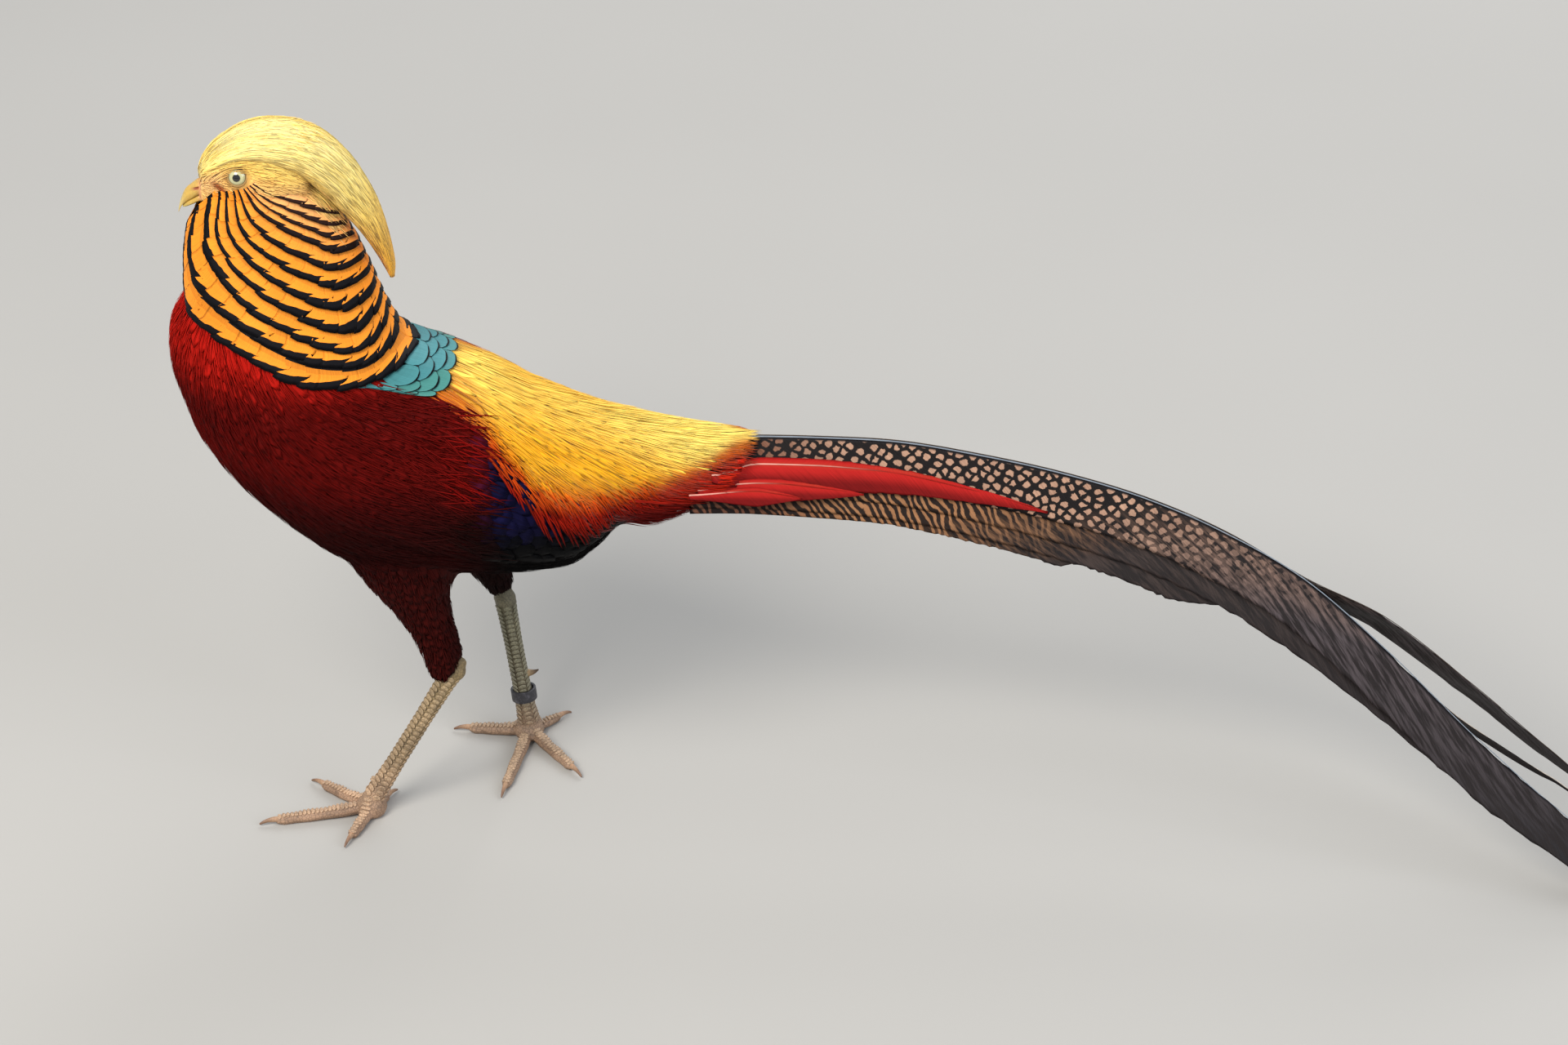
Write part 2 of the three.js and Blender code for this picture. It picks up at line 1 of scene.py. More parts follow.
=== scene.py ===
# %% [markdown]
# # A golden pheasant, feather by feather
# A cock golden pheasant walks past with his head up, his ruff spread and his long tail folded
# like a roof. Almost everything that the eye sees is feather, so this lesson is mostly about
# one thing: how to lay thousands of small closed meshes over a body so that they look grown.
# It could be done with particle hair, but hair is not a mesh and is lost on export. So every
# feather here is built with arrays of points, laid on the body's surface and kept as a mesh.

# %% Load the frame
import math

import bpy
import bmesh
import numpy as np
from mathutils import Matrix, Vector
from mathutils.bvhtree import BVHTree


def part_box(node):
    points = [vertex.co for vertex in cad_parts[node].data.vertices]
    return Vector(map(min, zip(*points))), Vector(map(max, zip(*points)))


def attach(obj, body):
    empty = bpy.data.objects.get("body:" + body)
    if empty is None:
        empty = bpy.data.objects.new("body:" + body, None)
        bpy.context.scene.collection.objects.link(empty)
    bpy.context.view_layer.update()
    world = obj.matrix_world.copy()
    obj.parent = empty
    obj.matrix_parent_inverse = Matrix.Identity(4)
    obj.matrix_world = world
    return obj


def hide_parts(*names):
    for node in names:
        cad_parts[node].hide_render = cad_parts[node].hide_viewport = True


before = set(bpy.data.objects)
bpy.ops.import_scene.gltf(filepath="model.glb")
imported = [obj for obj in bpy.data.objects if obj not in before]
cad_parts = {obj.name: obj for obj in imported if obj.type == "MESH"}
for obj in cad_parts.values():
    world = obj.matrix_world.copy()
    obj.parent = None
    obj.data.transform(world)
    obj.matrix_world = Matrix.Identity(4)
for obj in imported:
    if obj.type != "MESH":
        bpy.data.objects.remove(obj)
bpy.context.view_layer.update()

print("CAD nodes:", len(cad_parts))

# %% [markdown]
# ## The bird's own measures
# All lengths below are millimetres in the bird's own frame: x runs back from the bill, y is
# measured out from the plane that halves the body, with the left side negative, and z is the
# height over the floor. The frame's eye tells where that frame lies in Blender's metres.

# %% Millimetres to the row's frame and back
eye_x = -89.1
eye_out = 10.2
eye_z = 355.8
eye_radius = 5.5

eye_low, eye_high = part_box("eye_left")
eye_middle = [(low + high) / 2 * 1000 for low, high in zip(eye_low, eye_high)]
offset = np.array([eye_middle[0] - eye_x, eye_middle[1] + eye_out, 0.0])


def to_row(points):
    """Metres in the row's frame from millimetres in the bird's."""
    return (np.asarray(points, dtype=float) + offset) / 1000


def to_bird(points):
    """Millimetres in the bird's frame from metres in the row's."""
    return np.asarray(points, dtype=float) * 1000 - offset


print("the bird's frame lies at", [round(float(v), 2) for v in offset], "mm")

# %% [markdown]
# ## Camera, floor and light
# The photograph was taken with a long lens from a little above, so the camera is far off and
# looks down 32 degrees. The light is one big soft box from the front left, two weaker ones
# from the right and from behind, and a bright sky, which keeps the dark red from going black.

# %% The camera at the photograph's angle
camera_pitch = 32.0
camera_distance = 2600.0
lens = 117.0
aim = np.array([175.94, 6.0, 146.75])

pitch = math.radians(camera_pitch)
camera_place = aim + camera_distance * np.array([0, -math.cos(pitch), math.sin(pitch)])
camera_data = bpy.data.cameras.new("camera")
camera_data.lens = lens
camera_data.sensor_width = 36
camera_data.clip_start = 0.1
camera_data.clip_end = 50
camera = bpy.data.objects.new("camera", camera_data)
camera.location = to_row(camera_place)
camera.rotation_euler = (math.pi / 2 - pitch, 0, 0)
bpy.context.scene.collection.objects.link(camera)
bpy.context.scene.camera = camera
bpy.context.scene.view_settings.view_transform = "Standard"
print("camera at", [round(v, 3) for v in camera.location], "m")

# %% Colours and nodes
def linear(text):
    """Linear red, green and blue from an sRGB hex value."""
    parts = np.array([int(text[i:i + 2], 16) / 255 for i in (1, 3, 5)])
    return np.where(parts <= 0.04045, parts / 12.92, ((parts + 0.055) / 1.055) ** 2.4)


def paint(text):
    """The same with an alpha of 1, as a colour socket wants it."""
    return (*linear(text), 1)


def add(tree, kind, links=None, **settings):
    """Adds a node. links gives its inputs a plain value, a socket to read, or another node,
    of which it reads the first output that is in use."""
    node = tree.nodes.new(kind)
    for name, value in settings.items():
        setattr(node, name, value)
    for name, value in (links or {}).items():
        if isinstance(value, bpy.types.Node):
            value = next(socket for socket in value.outputs if socket.enabled)
        if isinstance(value, bpy.types.NodeSocket):
            tree.links.new(value, node.inputs[name])
        else:
            node.inputs[name].default_value = value
    return node


def grade(tree, value, start, end, low=0.0, high=1.0, **settings):
    """A node that turns a run of values from start to end into one from low to high."""
    return add(tree, "ShaderNodeMapRange", {
        "Value": value, "From Min": start, "From Max": end, "To Min": low, "To Max": high,
    }, **settings)


def blend(tree, share, first, second):
    """A node that mixes two colours by a share."""
    return add(tree, "ShaderNodeMix", {"Factor": share, "A": first, "B": second},
               data_type="RGBA")


def noise(tree, place, scale, detail, roughness=0.5, **settings):
    """A node of soft noise, with its scale in grains per unit of the place."""
    return add(tree, "ShaderNodeTexNoise", {
        "Vector": place, "Scale": scale, "Detail": detail, "Roughness": roughness,
    }, **settings)


def maths(tree, operation, *values):
    """A node that works one operation on its values."""
    return add(tree, "ShaderNodeMath", dict(enumerate(values)), operation=operation)


def new_material(name):
    """An empty material and its node tree."""
    material = bpy.data.materials.new(name)
    material.use_nodes = True
    material.node_tree.nodes.clear()
    return material, material.node_tree


def finish_material(tree, shader):
    """Sends the shader to the surface."""
    add(tree, "ShaderNodeOutputMaterial", {"Surface": shader})


def studio_paint():
    """Matt pale paint, which shows nothing but the bird's soft shadow."""
    material, tree = new_material("pale_studio_paint")
    grain = add(tree, "ShaderNodeTexNoise", {"Scale": 40.0, "Detail": 2.0})
    tone = blend(tree, grain, paint("#acaaa6"), paint("#b1afab"))
    shader = add(tree, "ShaderNodeBsdfPrincipled", {
        "Base Color": tone, "Roughness": 0.9,
    })
    finish_material(tree, shader)
    return material

# %% Floor, sky and lamps
floor_half = 6.0
floor_mesh = bpy.data.meshes.new("floor")
floor_mesh.from_pydata(
    [(-floor_half, -floor_half, 0), (floor_half, -floor_half, 0),
     (floor_half, floor_half, 0), (-floor_half, floor_half, 0)], [], [(0, 1, 2, 3)])
floor = bpy.data.objects.new("floor", floor_mesh)
floor_mesh.materials.append(studio_paint())
bpy.context.scene.collection.objects.link(floor)

world = bpy.data.worlds.new("sky")
world.use_nodes = True
world.node_tree.nodes["Background"].inputs["Color"].default_value = paint("#e9edf2")
world.node_tree.nodes["Background"].inputs["Strength"].default_value = 0.72
bpy.context.scene.world = world

body_middle = to_row([0, 0, 200])


def soft_box(name, place, width, power, colour):
    """A square area lamp that faces the middle of the bird."""
    data = bpy.data.lights.new(name, "AREA")
    data.size = width
    data.energy = power
    data.color = linear(colour)
    lamp = bpy.data.objects.new(name, data)
    lamp.location = place
    way = Vector(body_middle) - Vector(place)
    lamp.rotation_euler = way.to_track_quat("-Z", "Y").to_euler()
    bpy.context.scene.collection.objects.link(lamp)


soft_box("key_light", (-1.3, -1.5, 2.1), 1.3, 70, "#fffaf2")
soft_box("fill_light", (1.8, -1.2, 1.3), 1.5, 22, "#f2f6ff")
soft_box("back_light", (0.6, 1.9, 1.7), 1.4, 24, "#ffffff")

# %% [markdown]
# ## One skin under all of it
# The frame parts the bird into nodes, but a bird has one skin. Its nodes of flesh are joined,
# swollen a little so that the cuts between them close, and remeshed in small voxels. The
# result is used twice: as it is, it is the surface on which the feathers' tips lie, and
# shrunk by the depth of the plumage it is the skin itself.

# %% Join, remesh and smooth
flesh = ["head", "cape", "mantle", "rump", "trunk", "wing_left", "wing_right",
         "thigh_left", "thigh_right"]


def joined(meshes, swell):
    """One mesh of copies of the meshes, with shared corners merged, swollen by swell metres."""
    whole = bmesh.new()
    for source in meshes:
        piece = bmesh.new()
        piece.from_mesh(source)
        bmesh.ops.remove_doubles(piece, verts=piece.verts, dist=1e-6)
        piece.normal_update()
        for vertex in piece.verts:
            vertex.co += vertex.normal * swell
        part = bpy.data.meshes.new("part")
        piece.to_mesh(part)
        piece.free()
        whole.from_mesh(part)
        bpy.data.meshes.remove(part)
    mesh = bpy.data.meshes.new("joined")
    whole.to_mesh(mesh)
    whole.free()
    return mesh


def applied(mesh, steps):
    """The mesh after a row of modifiers, each given as its kind and its settings."""
    holder = bpy.data.objects.new("holder", mesh)
    bpy.context.scene.collection.objects.link(holder)
    for kind, settings in steps:
        modifier = holder.modifiers.new(kind.lower(), kind)
        for name, value in settings.items():
            setattr(modifier, name, value)
    graph = bpy.context.evaluated_depsgraph_get()
    result = bpy.data.meshes.new_from_object(holder.evaluated_get(graph))
    bpy.data.objects.remove(holder)
    return result


class Surface:
    """A mesh to lay feathers on: its points in the bird's frame, and a quick nearest search."""

    def __init__(self, mesh):
        co = np.empty(len(mesh.vertices) * 3)
        mesh.vertices.foreach_get("co", co)
        self.points = to_bird(co.reshape(-1, 3))
        normals = np.empty(len(mesh.vertices) * 3)
        mesh.vertices.foreach_get("normal", normals)
        self.normals = normals.reshape(-1, 3)
        self.faces = [tuple(p.vertices) for p in mesh.polygons]
        self.tree = BVHTree.FromPolygons([Vector(p) for p in self.points], self.faces)
        self.smooth_normals = self.face_normals()

    def face_normals(self):
        """A normal for each face, from the smooth normals of its corners."""
        result = np.array([self.normals[list(face)].mean(axis=0) for face in self.faces])
        return result / np.linalg.norm(result, axis=1, keepdims=True)

    def snap(self, points):
        """The nearest places on the surface, and the normals there."""
        flat = points.reshape(-1, 3)
        places = np.empty_like(flat)
        hits = np.empty(len(flat), dtype=int)
        find = self.tree.find_nearest
        for i, point in enumerate(flat):
            found = find(point)
            places[i] = found[0]
            hits[i] = found[2]
        normals = self.smooth_normals[hits]
        return places.reshape(points.shape), normals.reshape(points.shape)


voxel = 0.0026
swell = 0.0004
flesh_meshes = [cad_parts[name].data for name in flesh]
smooth_remesh = [
    ("REMESH", {"mode": "VOXEL", "voxel_size": voxel}),
    ("SMOOTH", {"factor": 0.5, "iterations": 9}),
]
body = Surface(applied(joined(flesh_meshes, swell), smooth_remesh))
print("body surface:", len(body.faces), "faces")

# %% Small tools for arrays of points
def unit(vectors):
    """The vectors at length 1."""
    return vectors / np.maximum(np.linalg.norm(vectors, axis=-1, keepdims=True), 1e-9)


def curve(points, share):
    """Places on the smooth curve through the points, at shares of its length in points."""
    points = np.asarray(points, dtype=float)
    at = np.clip(np.asarray(share), 0, 1) * (len(points) - 1)
    i = np.minimum(at.astype(int), len(points) - 2)
    t = (at - i)[..., None]
    before = points[np.maximum(i - 1, 0)]
    start = points[i]
    end = points[i + 1]
    after = points[np.minimum(i + 2, len(points) - 1)]
    return 0.5 * (2 * start + (end - before) * t
                  + (2 * before - 5 * start + 4 * end - after) * t ** 2
                  + (3 * start - before - 3 * end + after) * t ** 3)


def mix(a, b, share):
    """Between a and b."""
    return a + (b - a) * share


def ramp(value, start, end):
    """0 before start, 1 after end, smooth in between."""
    t = np.clip((np.asarray(value, dtype=float) - start) / (end - start), 0, 1)
    return t * t * (3 - 2 * t)


def tint(text, count):
    """count rows of one colour."""
    return np.tile(linear(text), (count, 1))

# %% [markdown]
# ## Two kinds of feather
# A contour feather is a thin closed sheet, cambered across, with fine ridges along it for its
# barbs and a frayed tip. A loose, hair-like feather is a lock: a flat tube with three sides
# that runs to a point. Both are made for thousands of roots at once, as arrays. A lock costs
# about 30 triangles and a sheet about 120, so the whole coat stays light enough to export.

# %% Locks and sheets
patch_size = 0.003
chart_shift = 3.7


def tangents(spine):
    """Directions along each spine."""
    return unit(np.gradient(spine, axis=1))


def lock_part(spine, normal, half_width, colour, patch, flat=0.45):
    """Closed tapering tubes along the spines. colour has a value for each spine point."""
    count, rings = spine.shape[:2]
    side = unit(np.cross(normal, tangents(spine)))
    wide = half_width[..., None]
    corners = np.stack([spine - side * wide, spine + side * wide, spine + normal * wide * flat], 2)
    points = np.concatenate([corners[:, :-1].reshape(count, -1, 3), spine[:, -1:]], axis=1)
    each = points.shape[1]
    quads = []
    tris = [(0, 2, 1)]
    for ring in range(rings - 2):
        for a, b in ((0, 1), (1, 2), (2, 0)):
            quads.append((3 * ring + a, 3 * ring + b, 3 * ring + 3 + b, 3 * ring + 3 + a))
    last = 3 * (rings - 2)
    tris += [(last + a, last + b, each - 1) for a, b in ((0, 1), (1, 2), (2, 0))]
    shades = np.concatenate([np.repeat(colour[:, :-1], 3, axis=1), colour[:, -1:]], axis=1)
    along = np.linspace(0, 1, rings)
    v = np.concatenate([np.repeat(along[:-1], 3), [1.0]])
    u = np.concatenate([np.tile([0.0, 1.0, 0.5], rings - 1), [0.5]])
    return pack_part(points, quads, tris, shades, u, v, half_width.max(axis=1), spine, patch)


def pack_part(points, quads, tris, shades, u, v, half_width, spine, patch):
    """The arrays of one part, with its vane map in millimetres and its small bake patches."""
    count, each = points.shape[:2]
    length = np.linalg.norm(np.diff(spine, axis=1), axis=2).sum(axis=1)
    seed = np.arange(count) * chart_shift
    vane = np.stack([u[None] * 2 * half_width[:, None] + seed[:, None],
                     v[None] * length[:, None]], axis=-1)
    bake = patch[:, None] + (np.stack([u, v], axis=-1)[None] - 0.5) * patch_size
    start = np.arange(count)[:, None, None] * each
    return {
        "points": points.reshape(-1, 3),
        "quads": (np.array(quads, dtype=int).reshape(1, -1, 4) + start).reshape(-1, 4),
        "tris": (np.array(tris, dtype=int).reshape(1, -1, 3) + start).reshape(-1, 3),
        "colour": shades.reshape(-1, 3),
        "vane": vane.reshape(-1, 2),
        "bake": bake.reshape(-1, 2),
    }


def sheet_part(grid, normal, across, along, thick, shades, patch, spine, face_shades=None):
    """Closed thin sheets. grid has rows along the feather and columns across it."""
    count, rows, columns = grid.shape[:3]
    inner = np.zeros((rows, columns), dtype=bool)
    inner[1:-1, 1:-1] = True
    under = (grid - normal * thick)[:, inner]
    points = np.concatenate([grid.reshape(count, -1, 3), under], axis=1)
    top = np.arange(rows * columns).reshape(rows, columns)
    bottom = top.copy()
    bottom[inner] = rows * columns + np.arange(inner.sum())
    cells = [(r, c) for r in range(rows - 1) for c in range(columns - 1)]
    quads = [(top[r, c], top[r + 1, c], top[r + 1, c + 1], top[r, c + 1]) for r, c in cells]
    quads += [(bottom[r, c], bottom[r, c + 1], bottom[r + 1, c + 1], bottom[r + 1, c])
              for r, c in cells]
    u = np.tile((across + 1) / 2, rows)
    v = np.repeat(along, columns)
    inside = inner.reshape(-1)
    u = np.concatenate([u, u[inside]])
    v = np.concatenate([v, v[inside]])
    colour = shades.reshape(count, -1, 3)
    colour = np.concatenate([colour, colour[:, inside]], axis=1)
    wide = np.linalg.norm(grid[:, rows // 2, -1] - grid[:, rows // 2, 0], axis=-1) / 2
    part = pack_part(points, quads, [], colour, u, v, wide, spine, patch)
    if face_shades is not None:
        both = np.concatenate([face_shades.reshape(count, -1, 3)] * 2, axis=1)
        part["face_colour"] = both.reshape(-1, 3)
    return part

# %% Meshes from parts
def make_mesh(name, parts):
    """One mesh of many parts, with its colours, its vane map and its bake map."""
    points = np.concatenate([p["points"] for p in parts])
    starts = np.cumsum([0] + [len(p["points"]) for p in parts[:-1]])
    quads = np.concatenate([p["quads"] + s for p, s in zip(parts, starts)])
    tris = np.concatenate([p["tris"] + s for p, s in zip(parts, starts)])
    loops = np.concatenate([quads.reshape(-1), tris.reshape(-1)])
    totals = np.concatenate([np.full(len(quads), 4), np.full(len(tris), 3)])
    mesh = bpy.data.meshes.new(name)
    mesh.vertices.add(len(points))
    mesh.vertices.foreach_set("co", to_row(points).reshape(-1))
    mesh.loops.add(len(loops))
    mesh.loops.foreach_set("vertex_index", loops.astype(np.int32))
    mesh.polygons.add(len(totals))
    mesh.polygons.foreach_set("loop_start", (np.cumsum(totals) - totals).astype(np.int32))
    mesh.polygons.foreach_set("use_smooth", np.ones(len(totals), dtype=bool))
    mesh.update(calc_edges=True)
    colour = np.concatenate([p["colour"] for p in parts])[loops]
    at = 0
    for part in parts:
        size = len(part["quads"])
        if "face_colour" in part:
            colour[at * 4:(at + size) * 4] = np.repeat(part["face_colour"], 4, axis=0)
        at += size
    coat = mesh.color_attributes.new("colour", "FLOAT_COLOR", "CORNER")
    coat.data.foreach_set("color", np.column_stack([colour, np.ones(len(colour))]).reshape(-1))
    charts = {"OFBake": "bake", "vane": "vane"}
    if all("spots" in p for p in parts):
        charts["spots"] = "spots"
    for layer, key in charts.items():
        chart = mesh.uv_layers.new(name=layer)
        values = np.concatenate([p[key] for p in parts])[loops]
        chart.data.foreach_set("uv", values.reshape(-1))
    mesh.uv_layers.active = mesh.uv_layers["OFBake"]
    turned = bmesh.new()
    turned.from_mesh(mesh)
    bmesh.ops.recalc_face_normals(turned, faces=turned.faces)
    turned.to_mesh(mesh)
    turned.free()
    return mesh


def triangles(mesh):
    """How many triangles the mesh has."""
    return sum(len(p.vertices) - 2 for p in mesh.polygons)


total_triangles = 0


def add_piece(name, mesh, material, slot, *nodes):
    """Puts a finished piece in the scene, on the body, in place of the named nodes."""
    global total_triangles
    piece = bpy.data.objects.new(name, mesh)
    bpy.context.scene.collection.objects.link(piece)
    mesh.materials.clear()
    mesh.materials.append(material)
    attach(piece, "root")
    if nodes:
        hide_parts(*nodes)
    count = triangles(mesh)
    total_triangles += count
    print(f"{name}: {count} triangles")


def add_parts(name, parts, material, slot, *nodes):
    """Makes one mesh of the parts and puts it in the scene."""
    add_piece(name, make_mesh(name, parts), material, slot, *nodes)

# %% [markdown]
# ## The finish of plumage
# A feather is keratin barbs side by side, so it shines in streaks along the barbs and has a
# soft halo where light grazes it. The material reads the colour painted on each feather, and
# a noise drawn out along the vane map gives the barbs: about half a millimetre apart, in the
# light and dark of the colour and in the bump. Silky and downy feathers get a little sheen.

# %% One recipe for every kind of plumage
barb_spacing = 0.55
barb_length = 14.0


def painted(tree):
    """The colour that was painted on the feather when it was made."""
    return add(tree, "ShaderNodeAttribute", attribute_name="colour")


def plumage(name, roughness, sheen, contrast=0.22, bump=0.35, spacing=barb_spacing,
            gloss=0.12, ground=painted):
    """Keratin vanes: streaked along the barbs, with a soft sheen over the ground colour."""
    material, tree = new_material(name)
    chart = add(tree, "ShaderNodeUVMap", uv_map="vane")
    drawn_out = add(tree, "ShaderNodeMapping", {
        "Vector": chart, "Scale": (1 / spacing, 1 / barb_length, 1),
    })
    barbs = noise(tree, drawn_out, 1.0, 3.0, 0.6, noise_dimensions="2D")
    shade = grade(tree, barbs, 0.3, 0.7, 1 - contrast, 1 + contrast)
    coloured = add(tree, "ShaderNodeVectorMath", {
        0: ground(tree), "Scale": shade,
    }, operation="SCALE")
    relief = add(tree, "ShaderNodeBump", {
        "Height": barbs, "Strength": bump, "Distance": 0.0004,
    })
    shader = add(tree, "ShaderNodeBsdfPrincipled", {
        "Base Color": coloured, "Roughness": roughness,
        "Normal": relief, "Sheen Weight": sheen, "Sheen Roughness": 0.4,
        "Specular IOR Level": gloss,
    })
    finish_material(tree, shader)
    return material


silk_gold = plumage("silky_gold_feather", 0.5, 0.1, contrast=0.14, bump=0.3)
barred_ruff = plumage("barred_ruff_feather", 0.6, 0.0, contrast=0.12, bump=0.25)
teal_scale = plumage("glossy_teal_feather", 0.45, 0.0, contrast=0.12, bump=0.2)
crimson_vane = plumage("soft_crimson_feather", 0.7, 0.0, contrast=0.22, bump=0.25, gloss=0.06)
night_vane = plumage("blue_black_feather", 0.6, 0.0, contrast=0.25, bump=0.3, gloss=0.05)
face_down = plumage("short_face_feather", 0.7, 0.1, contrast=0.1, bump=0.15)

# %% [markdown]
# ## The lie of the plumage
# Feathers point away from the bill and down the body. A comb of a few strokes, each a place
# and a direction in the side view, says so: the direction at any root is the mean of the
# strokes, weighted by how near they are, and then pressed flat on the skin.

# %% Comb strokes: x, z, then the way the feathers point
comb = np.array([
    (-128, 262, 0.15, -1.0), (-122, 225, 0.3, -1.0), (-104, 190, 0.6, -0.8),
    (-80, 165, 0.85, -0.5), (-50, 140, 1.0, -0.25), (0, 128, 1.0, 0.0), (50, 130, 1.0, 0.15),
    (90, 250, 1.0, -0.2), (-95, 240, 0.5, -0.85), (-70, 210, 0.75, -0.65),
    (-40, 230, 0.85, -0.5), (-40, 190, 0.9, -0.4), (0, 215, 0.95, -0.35), (0, 170, 1.0, -0.2),
    (20, 235, 1.0, -0.45), (40, 205, 0.9, -0.6), (45, 170, 1.0, -0.25), (75, 200, 0.95, -0.4),
    (80, 165, 1.0, -0.15), (110, 185, 1.0, -0.2), (150, 185, 1.0, -0.05), (-110, 300, 0.1, -1.0),
    (-60, 290, 0.5, -0.85), (-20, 265, 0.9, -0.45),
])
comb_reach = 24.0


def comb_way(strokes, reach=comb_reach):
    """A function that gives the lie at any place, from the strokes of one comb."""
    def way(points, normals):
        apart = points[:, None, [0, 2]] - strokes[None, :, :2]
        weight = np.exp(-(apart ** 2).sum(axis=2) / (2 * reach ** 2)) + 1e-9
        mean = (weight[..., None] * unit(strokes[:, 2:])[None]).sum(axis=1)
        ahead = np.stack([mean[:, 0], np.zeros(len(points)), mean[:, 1]], axis=1)
        ahead -= normals * (ahead * normals).sum(axis=1, keepdims=True)
        return unit(ahead)
    return way


lie_way = comb_way(comb)
print("comb:", len(comb), "strokes")


def trace(surface, roots, lengths, steps, way, sway):
    """Spines that run from the roots along the lie: points and normals at each step."""
    places, normals = surface.snap(roots)
    spine = [places]
    across = [normals]
    for step in range(1, steps):
        ahead = way(spine[-1], across[-1])
        ahead = unit(ahead + np.cross(across[-1], ahead) * sway[:, None])
        moved = spine[-1] + ahead * (lengths / (steps - 1))[:, None]
        places, normals = surface.snap(moved)
        spine.append(places)
        across.append(normals)
    return np.stack(spine, axis=1), np.stack(across, axis=1)

# %% Roots spread evenly over the skin
def scatter(surface, count, seed):
    """Random places on a surface, even by area."""
    dice = np.random.default_rng(seed)
    corners = np.array([face[:3] for face in surface.faces])
    extra = np.array([(face[0], face[2], face[3]) for face in surface.faces if len(face) == 4])
    corners = np.concatenate([corners, extra.reshape(-1, 3)])
    a, b, c = (surface.points[corners[:, k]] for k in range(3))
    area = np.linalg.norm(np.cross(b - a, c - a), axis=1)
    pick = dice.choice(len(corners), size=count, p=area / area.sum())
    r = np.sqrt(dice.random(count))[:, None]
    s = dice.random(count)[:, None]
    return a[pick] * (1 - r) + b[pick] * r * (1 - s) + c[pick] * r * s


def thin_out(points, spacing):
    """Keeps points that are at least their spacing apart, in the order given."""
    cell = float(spacing.max())
    grid = {}
    kept = []
    for i, point in enumerate(points):
        key = tuple((point // cell).astype(int))
        near = [j for dx in (-1, 0, 1) for dy in (-1, 0, 1) for dz in (-1, 0, 1)
                for j in grid.get((key[0] + dx, key[1] + dy, key[2] + dz), ())]
        if all(((points[j] - point) ** 2).sum() > spacing[i] ** 2 for j in near):
            grid.setdefault(key, []).append(i)
            kept.append(i)
    return np.array(kept, dtype=int)


def nearest_node(points, names):
    """The index of the CAD node that each place belongs to."""
    best = np.full(len(points), 1e9)
    owner = np.zeros(len(points), dtype=int)
    for index, name in enumerate(names):
        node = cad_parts[name].data
        corners = to_bird(np.array([v.co for v in node.vertices]))
        faces = [tuple(p.vertices) for p in node.polygons]
        tree = BVHTree.FromPolygons([Vector(p) for p in corners], faces)
        far = np.array([tree.find_nearest(p)[3] for p in points])
        closer = far < best
        best[closer] = far[closer]
        owner[closer] = index
    return owner


root_count = 60000
candidates = scatter(body, root_count, seed=11)
owners = nearest_node(candidates, flesh)
print("roots by node:", {name: int((owners == i).sum()) for i, name in enumerate(flesh)})


def of_nodes(*names):
    """Which of the scattered roots lie on these nodes."""
    return np.isin(owners, [flesh.index(name) for name in names])


def body_chart(points):
    """The unwrap of the trunk: along it, and around its long axis."""
    u = (points[:, 0] + 140) / 320
    v = np.arctan2(points[:, 1], points[:, 2] - 190) / (2 * math.pi) + 0.5
    return np.stack([0.02 + 0.96 * u, 0.02 + 0.96 * v], axis=1)


def neck_chart(points):
    """The unwrap of the neck and head: around the upright axis, and up it."""
    u = np.arctan2(points[:, 1], -(points[:, 0] + 65)) / (2 * math.pi) + 0.5
    v = (points[:, 2] - 230) / 160
    return np.stack([0.02 + 0.96 * u, 0.02 + 0.96 * v], axis=1)

# %% [markdown]
# ## Where each colour grows
# The body goes from crimson on the breast to maroon and nearly black behind the legs, partly
# its own colour and partly painted light on top and painted shade downwards. A patch of night
# blue shows on the wing, the rump is gold with an orange-red hem, and under the tail it is deep
# red. The same rule paints the skin and the feathers, so no pale skin shows through.

# %% Body colours by place
def blend_rows(rows, text, share):
    """Mixes a colour into rows by a share for each row."""
    return mix(rows, linear(text), np.asarray(share)[:, None])


def layers(points, ground, *coats):
    """A ground colour with others over it, each laid on by a share for every place."""
    colours = tint(ground, len(points))
    for text, share in coats:
        colours = blend_rows(colours, text, share)
    return colours


def red_body(points):
    """Crimson breast, maroon belly, blackish behind the legs, with painted light on top and
    painted shade downwards and underneath, where the light fails.
    """
    x, y, z = points.T
    colours = layers(
        points, "#5c0704",
        ("#b4170d", ramp(z, 243, 272) * 0.9),
        ("#430504", ramp(238 - z, 20, 50)),
        ("#2a0403", ramp(214 - z + 0.15 * x, 0, 42)),
        ("#050303", ramp(x, 8, 40) * ramp(195 - z, 0, 24)),
        ("#7c0e0a", ramp(x, 92, 108)),
    )
    # Painted shade: the underside of the body is darkened to six tenths of its colour.
    shade_underneath = ramp(np.abs(y), 52, 20) * ramp(160 - z, 0, 20)
    return mix(colours, colours * 0.6, shade_underneath[:, None])


def wing_body(points):
    """Night blue on the wing's rear, red in front where the flank covers it."""
    x, y, z = points.T
    blue = layers(points, "#0f0d2e", ("#030304", ramp(186 - z, 0, 16)))
    return mix(red_body(points), blue, ramp(x, 12, 24)[:, None])


hem_x = [2, 15, 23, 31, 37, 46, 50, 70, 92, 110, 124, 142, 150, 175]
hem_z = [244, 238.5, 230, 219.3, 211.2, 202, 195, 187, 184, 187, 192, 197.5, 200, 200]


def gold_hem(x):
    """Height of the lower edge of the gold: steep in front, rising again to the tail."""
    return np.interp(x, hem_x, hem_z)


def hem_soft(x):
    """How soft the gold's lower edge is: it gets sharp where it narrows to the tail."""
    return np.interp(x, [80, 130], [1.0, 0.25])


